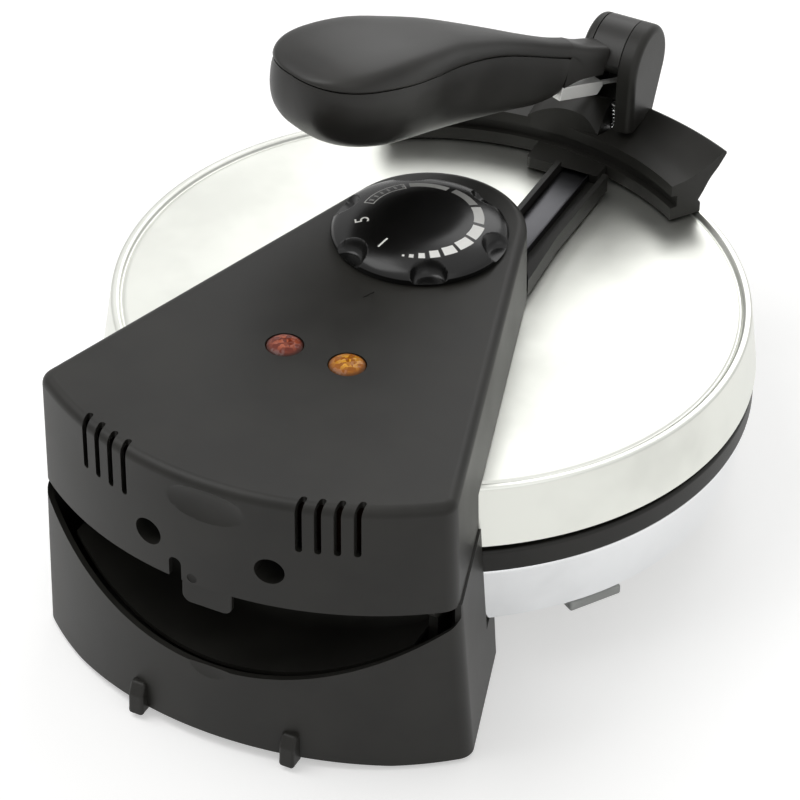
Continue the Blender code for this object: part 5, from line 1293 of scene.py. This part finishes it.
fitted(makeBracket(), "lid", blackPlastic, ["front_bracket"])
fitted(makeYoke(), "lid", blackPlastic, ["pivot_yoke"])
fitted(rod("pivotPin", pivot["pin"], "X", hubCentre, pinLength, pivot["edge"]), "lid", platedSteel,
       ["pivot_pin"])
print("bracket and yoke made")

# Handle, made lying along Y from the pivot and then turned into its pose
handle = {
    "length": 0.204, "skew": -22.3, "slope": 14.6, "lift": 0.0033, "shift": 0.0029, "half": 0.028,
    "crown": 0.028, "belly": 0.0235, "seam": 0.0145, "sway": -0.005, "wall": 0.003, "seamGap": 0.0006,
    "startGap": 0.002, "topHollow": (0.41, 0.93), "lowerHollow": (0.25, 0.93), "hollowOver": 0.004,
    "neckHalf": 0.00625, "neckCrown": 0.0090, "neckBelly": 0.0065, "neckLong": 0.039, "neckShare": 1.5,
    "blendFrom": 0.022, "roomLong": 0.112, "sharpAngle": 55, "roundFrom": 0.85, "tipRows": 26,
    "tipPower": 2.5, "tipHard": 14,
    # along, half width, sway, crown, belly and seam, each a share of its full value
    "stations": (
        (.18, .21, .92, .42, .62, .36), (.25, .20, .75, .48, .80, .47), (.33, .23, .50, .59, .86, .65),
        (.41, .32, .28, .71, .91, .83), (.49, .45, .12, .82, .95, .95), (.58, .61, 0, .93, .99, 1),
        (.67, .80, 0, .98, 1, 1), (.76, .95, 0, 1, .98, 1), (.85, 1, 0, .93, .87, 1),
        (.92, .93, 0, .82, .68, .99), (.965, .75, 0, .70, .45, .97), (.99, .52, 0, .62, .22, .96),
        (1, .30, 0, .58, .05, .95),
    ),
    # half sections: how far across and how far up, as shares
    "crownLine": ((.97, 0), (1, .12), (.97, .52), (.86, .78), (.60, .93), (.30, .99), (0, 1)),
    "bellyLine": ((.96, 0), (.97, .22), (.89, .55), (.70, .82), (.38, .97), (0, 1)),
    "neckLine": ((1, 0), (1, .40), (1, .72), (.93, .90), (.75, .98), (.4, 1), (0, 1)),
}
handlePose = (Matrix.Translation(hubCentre + Vector((handle["shift"], 0, handle["lift"])))
              @ Matrix.Rotation(math.radians(handle["skew"]), 4, "Z")
              @ Matrix.Rotation(math.radians(handle["slope"]), 4, "X"))


def halfRing(y, half, sway, low, peak, line):
    right = [(sway - half * across, y, low + (peak - low) * share) for across, share in line]
    return right + [(2 * sway - x, y, z) for x, y, z in reversed(right[:-1])]


def handleStations():
    # rows of y, half width, sway, crown, belly and seam; the tip is oval in plan and rounded over
    smooth = smoothLine(handle["stations"], 7)
    begin = handle["roundFrom"]
    shares = [[*row, 1] for row in smooth if row[0] < begin]
    for i in range(handle["tipRows"] + 1):
        t = 1 - (1 - i / handle["tipRows"]) ** 3
        row = tableRow(smooth, begin + (1 - begin) * t)
        row[1] = max((1 - t ** handle["tipPower"]) ** (1 / handle["tipPower"]), 0.01)
        shares.append(row + [max((1 - t ** handle["tipHard"]) ** 0.5, 0.02)])
    rows = []
    for along, half, sway, crown, belly, seam, close in shares:
        crown, belly, seam = handle["crown"] * crown, handle["belly"] * belly, handle["seam"] * seam
        rows.append((handle["length"] * along, handle["half"] * half, handle["sway"] * sway,
                     seam + (crown - seam) * close, (belly + seam) * close - seam, seam))
    return rows


def between(rows, low, high):
    return [row for row in rows if low <= row[0] / handle["length"] <= high]


def neckRows(first):
    # from the hub's round to where the lower shell starts, turning into the shell's own section
    wide, sway, crown, belly, seam = first[1:]
    long = handle["neckLong"]
    half = handle["neckHalf"]
    neckLine = smoothLine(handle["neckLine"], 5)
    crownLine = smoothLine(handle["crownLine"], 5)
    rows = []
    for y, across, high, low in smoothLine([
        (pivot["ear"] * 0.8, half * 1.1, handle["neckCrown"] * 0.9, handle["neckBelly"] * 0.8),
        ((pivot["ear"] + long) / 2, half, handle["neckCrown"] * 1.06, handle["neckBelly"]),
        (long, wide, crown, handle["neckBelly"] * handle["neckShare"]),
    ], 12):
        t = min(max((y - handle["blendFrom"]) / (long - handle["blendFrom"]), 0), 1)
        t = t * t * (3 - 2 * t)
        plain = halfRing(y, across, sway, -low, high, neckLine)
        soft = halfRing(y, across, sway, seam, high, crownLine)
        soft[0] = plain[0]
        soft[-1] = plain[-1]
        rows.append([tuple(Vector(one).lerp(Vector(two), t)) for one, two in zip(plain, soft)])
    return rows


def makeHandleTop():
    crownLine = smoothLine(handle["crownLine"], 5)
    rows = handleStations()
    beyond = [row for row in rows if row[0] > handle["neckLong"] + hair / 2]
    start = (handle["neckLong"] + hair / 2, *beyond[0][1:])
    outer = [halfRing(y, half, sway, seam, crown, crownLine)
             for y, half, sway, crown, belly, seam in [start] + beyond]
    shell = lofted("handleTopShell", neckRows(start) + outer, handle["sharpAngle"])
    wall = handle["wall"]
    over = handle["hollowOver"]
    inner = [halfRing(y, half - wall, sway, seam - over, crown - wall, crownLine)
             for y, half, sway, crown, belly, seam in between(rows, *handle["topHollow"])]
    room = rod("neckRoom", pivot["ear"] + hair, "X", (0, 0, 0), handle["roomLong"], steps=96)
    room.data.transform(handlePose.inverted() @ Matrix.Translation(hubCentre))
    return cleaned(change(shell, [lofted("topHollow", inner), room]), handle["sharpAngle"])


def makeHandleBottom():
    bellyLine = smoothLine(handle["bellyLine"], 5)
    rows = handleStations()
    start = (handle["neckLong"] + hair, *rows[0][1:])
    rows = [start] + [row for row in rows if row[0] > start[0] + handle["startGap"]]
    outer = [halfRing(y, half, sway, seam - handle["seamGap"], -belly, bellyLine)
             for y, half, sway, crown, belly, seam in rows]
    shell = lofted("handleLowerShell", outer, handle["sharpAngle"])
    wall = handle["wall"]
    over = handle["hollowOver"]
    inner = [halfRing(y, half - min(wall, half / 2), sway, seam + over, wall - belly, bellyLine)
             for y, half, sway, crown, belly, seam in between(rows, *handle["lowerHollow"])]
    return cleaned(change(shell, [lofted("lowerHollow", inner)]), handle["sharpAngle"])


def makeHub():
    centre = (pivot["y"], pivot["z"])
    outline = arc(centre, pivot["ear"], 20, 240, 80) + arc(centre, pivot["boss"], 240, 380, 24)
    hub = slab("handleHub", outline, hubRight, hubLeft, "X", pivot["edge"])
    return change(hub, [rod("hubBore", pivot["pin"] + hair, "X", hubCentre, pivot["boreLong"])])


# Lever plate under the neck, and the thin rod that runs from it to the hub
lever = {
    "wide": 0.0062, "swayShare": 1.2, "deep": 0.0068, "start": 0.0125, "slant": 0.0012, "edge": 0.0004,
    "rod": 0.0011, "lean": 0.0024, "rodGap": 0.0015, "rodShare": 0.2, "rodEdge": 0.0003,
}
leverX = handle["sway"] * lever["swayShare"]
leverTop = -handle["neckBelly"] * handle["neckShare"] - hair


def makeLever():
    half = lever["wide"] / 2
    low = leverTop - lever["deep"]
    start = lever["start"]
    slant = lever["slant"]
    end = handle["neckLong"] - hair
    outline = fillet([(start, leverTop), (start - slant, leverTop - lever["lean"]), (start + slant, low),
                      (end, low), (end, leverTop)], [0.0004, 0.0006, 0.0010, 0.0004, 0.0004], 4)
    return slab("leverPlate", outline, leverX - half, leverX + half, "X", lever["edge"])


def makeLeverRod():
    begin = -pivot["ear"] * lever["rodShare"]
    end = lever["start"] - lever["rodGap"]
    centre = (leverX, (begin + end) / 2, leverTop - lever["lean"])
    return rod("leverRod", lever["rod"], "Y", centre, end - begin, lever["rodEdge"])


for piece, node in ((makeHandleTop(), "handle_top_shell"), (makeHandleBottom(), "handle_lower_shell"),
                    (makeLever(), "lever_plate"), (makeLeverRod(), "lever_rod")):
    piece.data.transform(handlePose)
    fitted(piece, "handle", leverSteel if "lever" in node else handlePlastic, [node])
fitted(makeHub(), "handle", handlePlastic, ["handle_hub"])
print("handle made")

# Release spring and plunger in the boss's pocket
spring = {"radius": 0.00175, "wire": 0.0004, "turns": 7, "steps": 40, "sides": 14, "pinRadius": 0.0009,
          "top": 0.0300, "headShare": 1.2, "inPocket": (0.43, 0.37)}
springX = bracket["bossRight"] - bracket["pocketWide"] * spring["inPocket"][0]
springY = bossBack + bracket["pocketWide"] * spring["inPocket"][1]
headLow = spring["top"] - spring["pinRadius"] * spring["headShare"]


def makeSpring():
    low = bracket["pocketFloor"] + spring["wire"] + hair
    high = headLow - spring["wire"] - hair
    pitch = (high - low) / spring["turns"]
    count = spring["turns"] * spring["steps"]
    sections = []
    for i in range(count + 1):
        a = math.tau * i / spring["steps"]
        out = Vector((math.cos(a), math.sin(a), 0))
        along = Vector((-math.sin(a), math.cos(a), pitch / math.tau / spring["radius"]))
        up = along.normalized().cross(out)
        centre = Vector((springX, springY, low + (high - low) * i / count)) + out * spring["radius"]
        sections.append([tuple(centre + (out * math.cos(b) + up * math.sin(b)) * spring["wire"])
                         for b in (math.tau * k / spring["sides"] for k in range(spring["sides"]))])
    return lofted("releaseSpring", sections, 60)


def makePlunger():
    wide = spring["radius"] + spring["wire"]
    peg = spring["pinRadius"]
    high = spring["top"]
    foot = bracket["pocketFloor"] + hair
    points = [(0, high), (wide, high), (wide, headLow), (peg, headLow), (peg, foot), (0, foot)]
    profile = fillet(points, [0, 0.0003, 0.0002, 0, 0.0002, 0], 3, False)
    return turned("releasePlunger", profile, 48, (springX, springY, 0))


fitted(makeSpring(), "lid", stripSteel, ["release_spring"])
fitted(makePlunger(), "lid", platedSteel, ["release_plunger"])
print("spring made")

for piece in list(bpy.context.scene.objects):
    if piece.type == "MESH" and "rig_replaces" in piece:
        piece.modifiers.new("weightedNormals", "WEIGHTED_NORMAL").keep_sharp = True


# Studio
studio = {
    "floorSize": 30.0, "floorTone": 0.80, "floorGlow": 0.42, "ambient": 0.50, "seen": 1.02,
    "sky": 1.08, "horizon": 0.62,
    # place, aim, size and power of each soft light
    "lights": (
        ("keyLight", (0.55, 0.35, 1.30), (0, 0, 0.10), 0.90, 7.0),
        ("fillLight", (-1.20, 0.90, 0.90), (0, 0, 0.10), 1.10, 1.6),
        ("frontLight", (0.20, -1.30, 1.00), (0, 0, 0.12), 0.90, 4.0),
    ),
}


def makeFloor():
    half = studio["floorSize"] / 2
    mesh = bpy.data.meshes.new("studioFloor")
    corners = [(-half, -half, 0), (half, -half, 0), (half, half, 0), (-half, half, 0)]
    mesh.from_pydata(corners, [], [(0, 1, 2, 3)])
    finish, tree, place = newFinish("studioFloor")
    tone = grain(tree, place, 3.0, 2.0).blend((studio["floorTone"],) * 3, (studio["floorTone"] * 1.02,) * 3)
    plain = tree.node("ShaderNodeBsdfDiffuse", None, {"Color": tone})
    glow = tree.node("ShaderNodeEmission", None,
                     {"Color": (1.0, 1.0, 0.995), "Strength": studio["floorGlow"]})
    lit = tree.node("ShaderNodeAddShader", None, {0: plain, 1: glow})
    path = tree.node("ShaderNodeLightPath")
    seen = tree.math("MAXIMUM", path, path.other("Is Glossy Ray"))
    seen = tree.math("MAXIMUM", seen, path.other("Is Transmission Ray"))
    tree.node("ShaderNodeOutputMaterial", None,
              {"Surface": tree.node("ShaderNodeMixShader", None, {0: seen, 1: plain, 2: lit})})
    mesh.materials.append(finish)
    linked("studioFloor", mesh)


def makeWorld():
    world = bpy.data.worlds.new("studioWorld")
    world.use_nodes = True
    world.node_tree.nodes.clear()
    tree = Wire(world.node_tree)
    path = tree.node("ShaderNodeLightPath")
    seen = tree.math("MAXIMUM", path, path.other("Is Transmission Ray"))
    way = tree.node("ShaderNodeTexCoord")
    height = tree.node("ShaderNodeSeparateXYZ", None, {"Vector": way}, 2)
    shine = height.step(-0.1, 0.9).blend((studio["horizon"],) * 3, (studio["sky"],) * 3)
    plain = tree.node("ShaderNodeBackground", None,
                      {"Color": (1.0, 0.995, 0.98), "Strength": studio["ambient"]})
    mirror = tree.node("ShaderNodeBackground", None, {"Color": shine, "Strength": 1.0})
    white = tree.node("ShaderNodeBackground", None, {"Color": (1.0, 1.0, 1.0), "Strength": studio["seen"]})
    mixed = tree.node("ShaderNodeMixShader", None, {0: path.other("Is Glossy Ray"), 1: plain, 2: mirror})
    tree.node("ShaderNodeOutputWorld", None,
              {"Surface": tree.node("ShaderNodeMixShader", None, {0: seen, 1: mixed, 2: white})})
    bpy.context.scene.world = world


def aim(obj, place, target, roll=0.0):
    obj.location = place
    back = (Vector(place) - Vector(target)).normalized()
    right = Vector((0, 0, 1)).cross(back).normalized()
    turn = Matrix((right, back.cross(right), back)).transposed()
    obj.rotation_euler = (turn @ Matrix.Rotation(roll, 3, "Z")).to_euler()


makeFloor()
makeWorld()
for name, place, target, size, power in studio["lights"]:
    light = bpy.data.lights.new(name, "AREA")
    light.size = size
    light.energy = power
    holder = linked(name, light)
    aim(holder, place, target)

view = {"lens": 180.0, "place": (-0.60709, 1.31415, 1.03045), "target": (-0.02291, 0.07831, 0.0),
        "roll": math.radians(1.6)}
camera = linked("camera", bpy.data.cameras.new("camera"))
camera.data.lens = view["lens"]
aim(camera, lidOrigin + Vector(view["place"]), lidOrigin + Vector(view["target"]), view["roll"])
bpy.context.scene.camera = camera
bpy.context.scene.view_settings.view_transform = "Standard"
print("studio made")
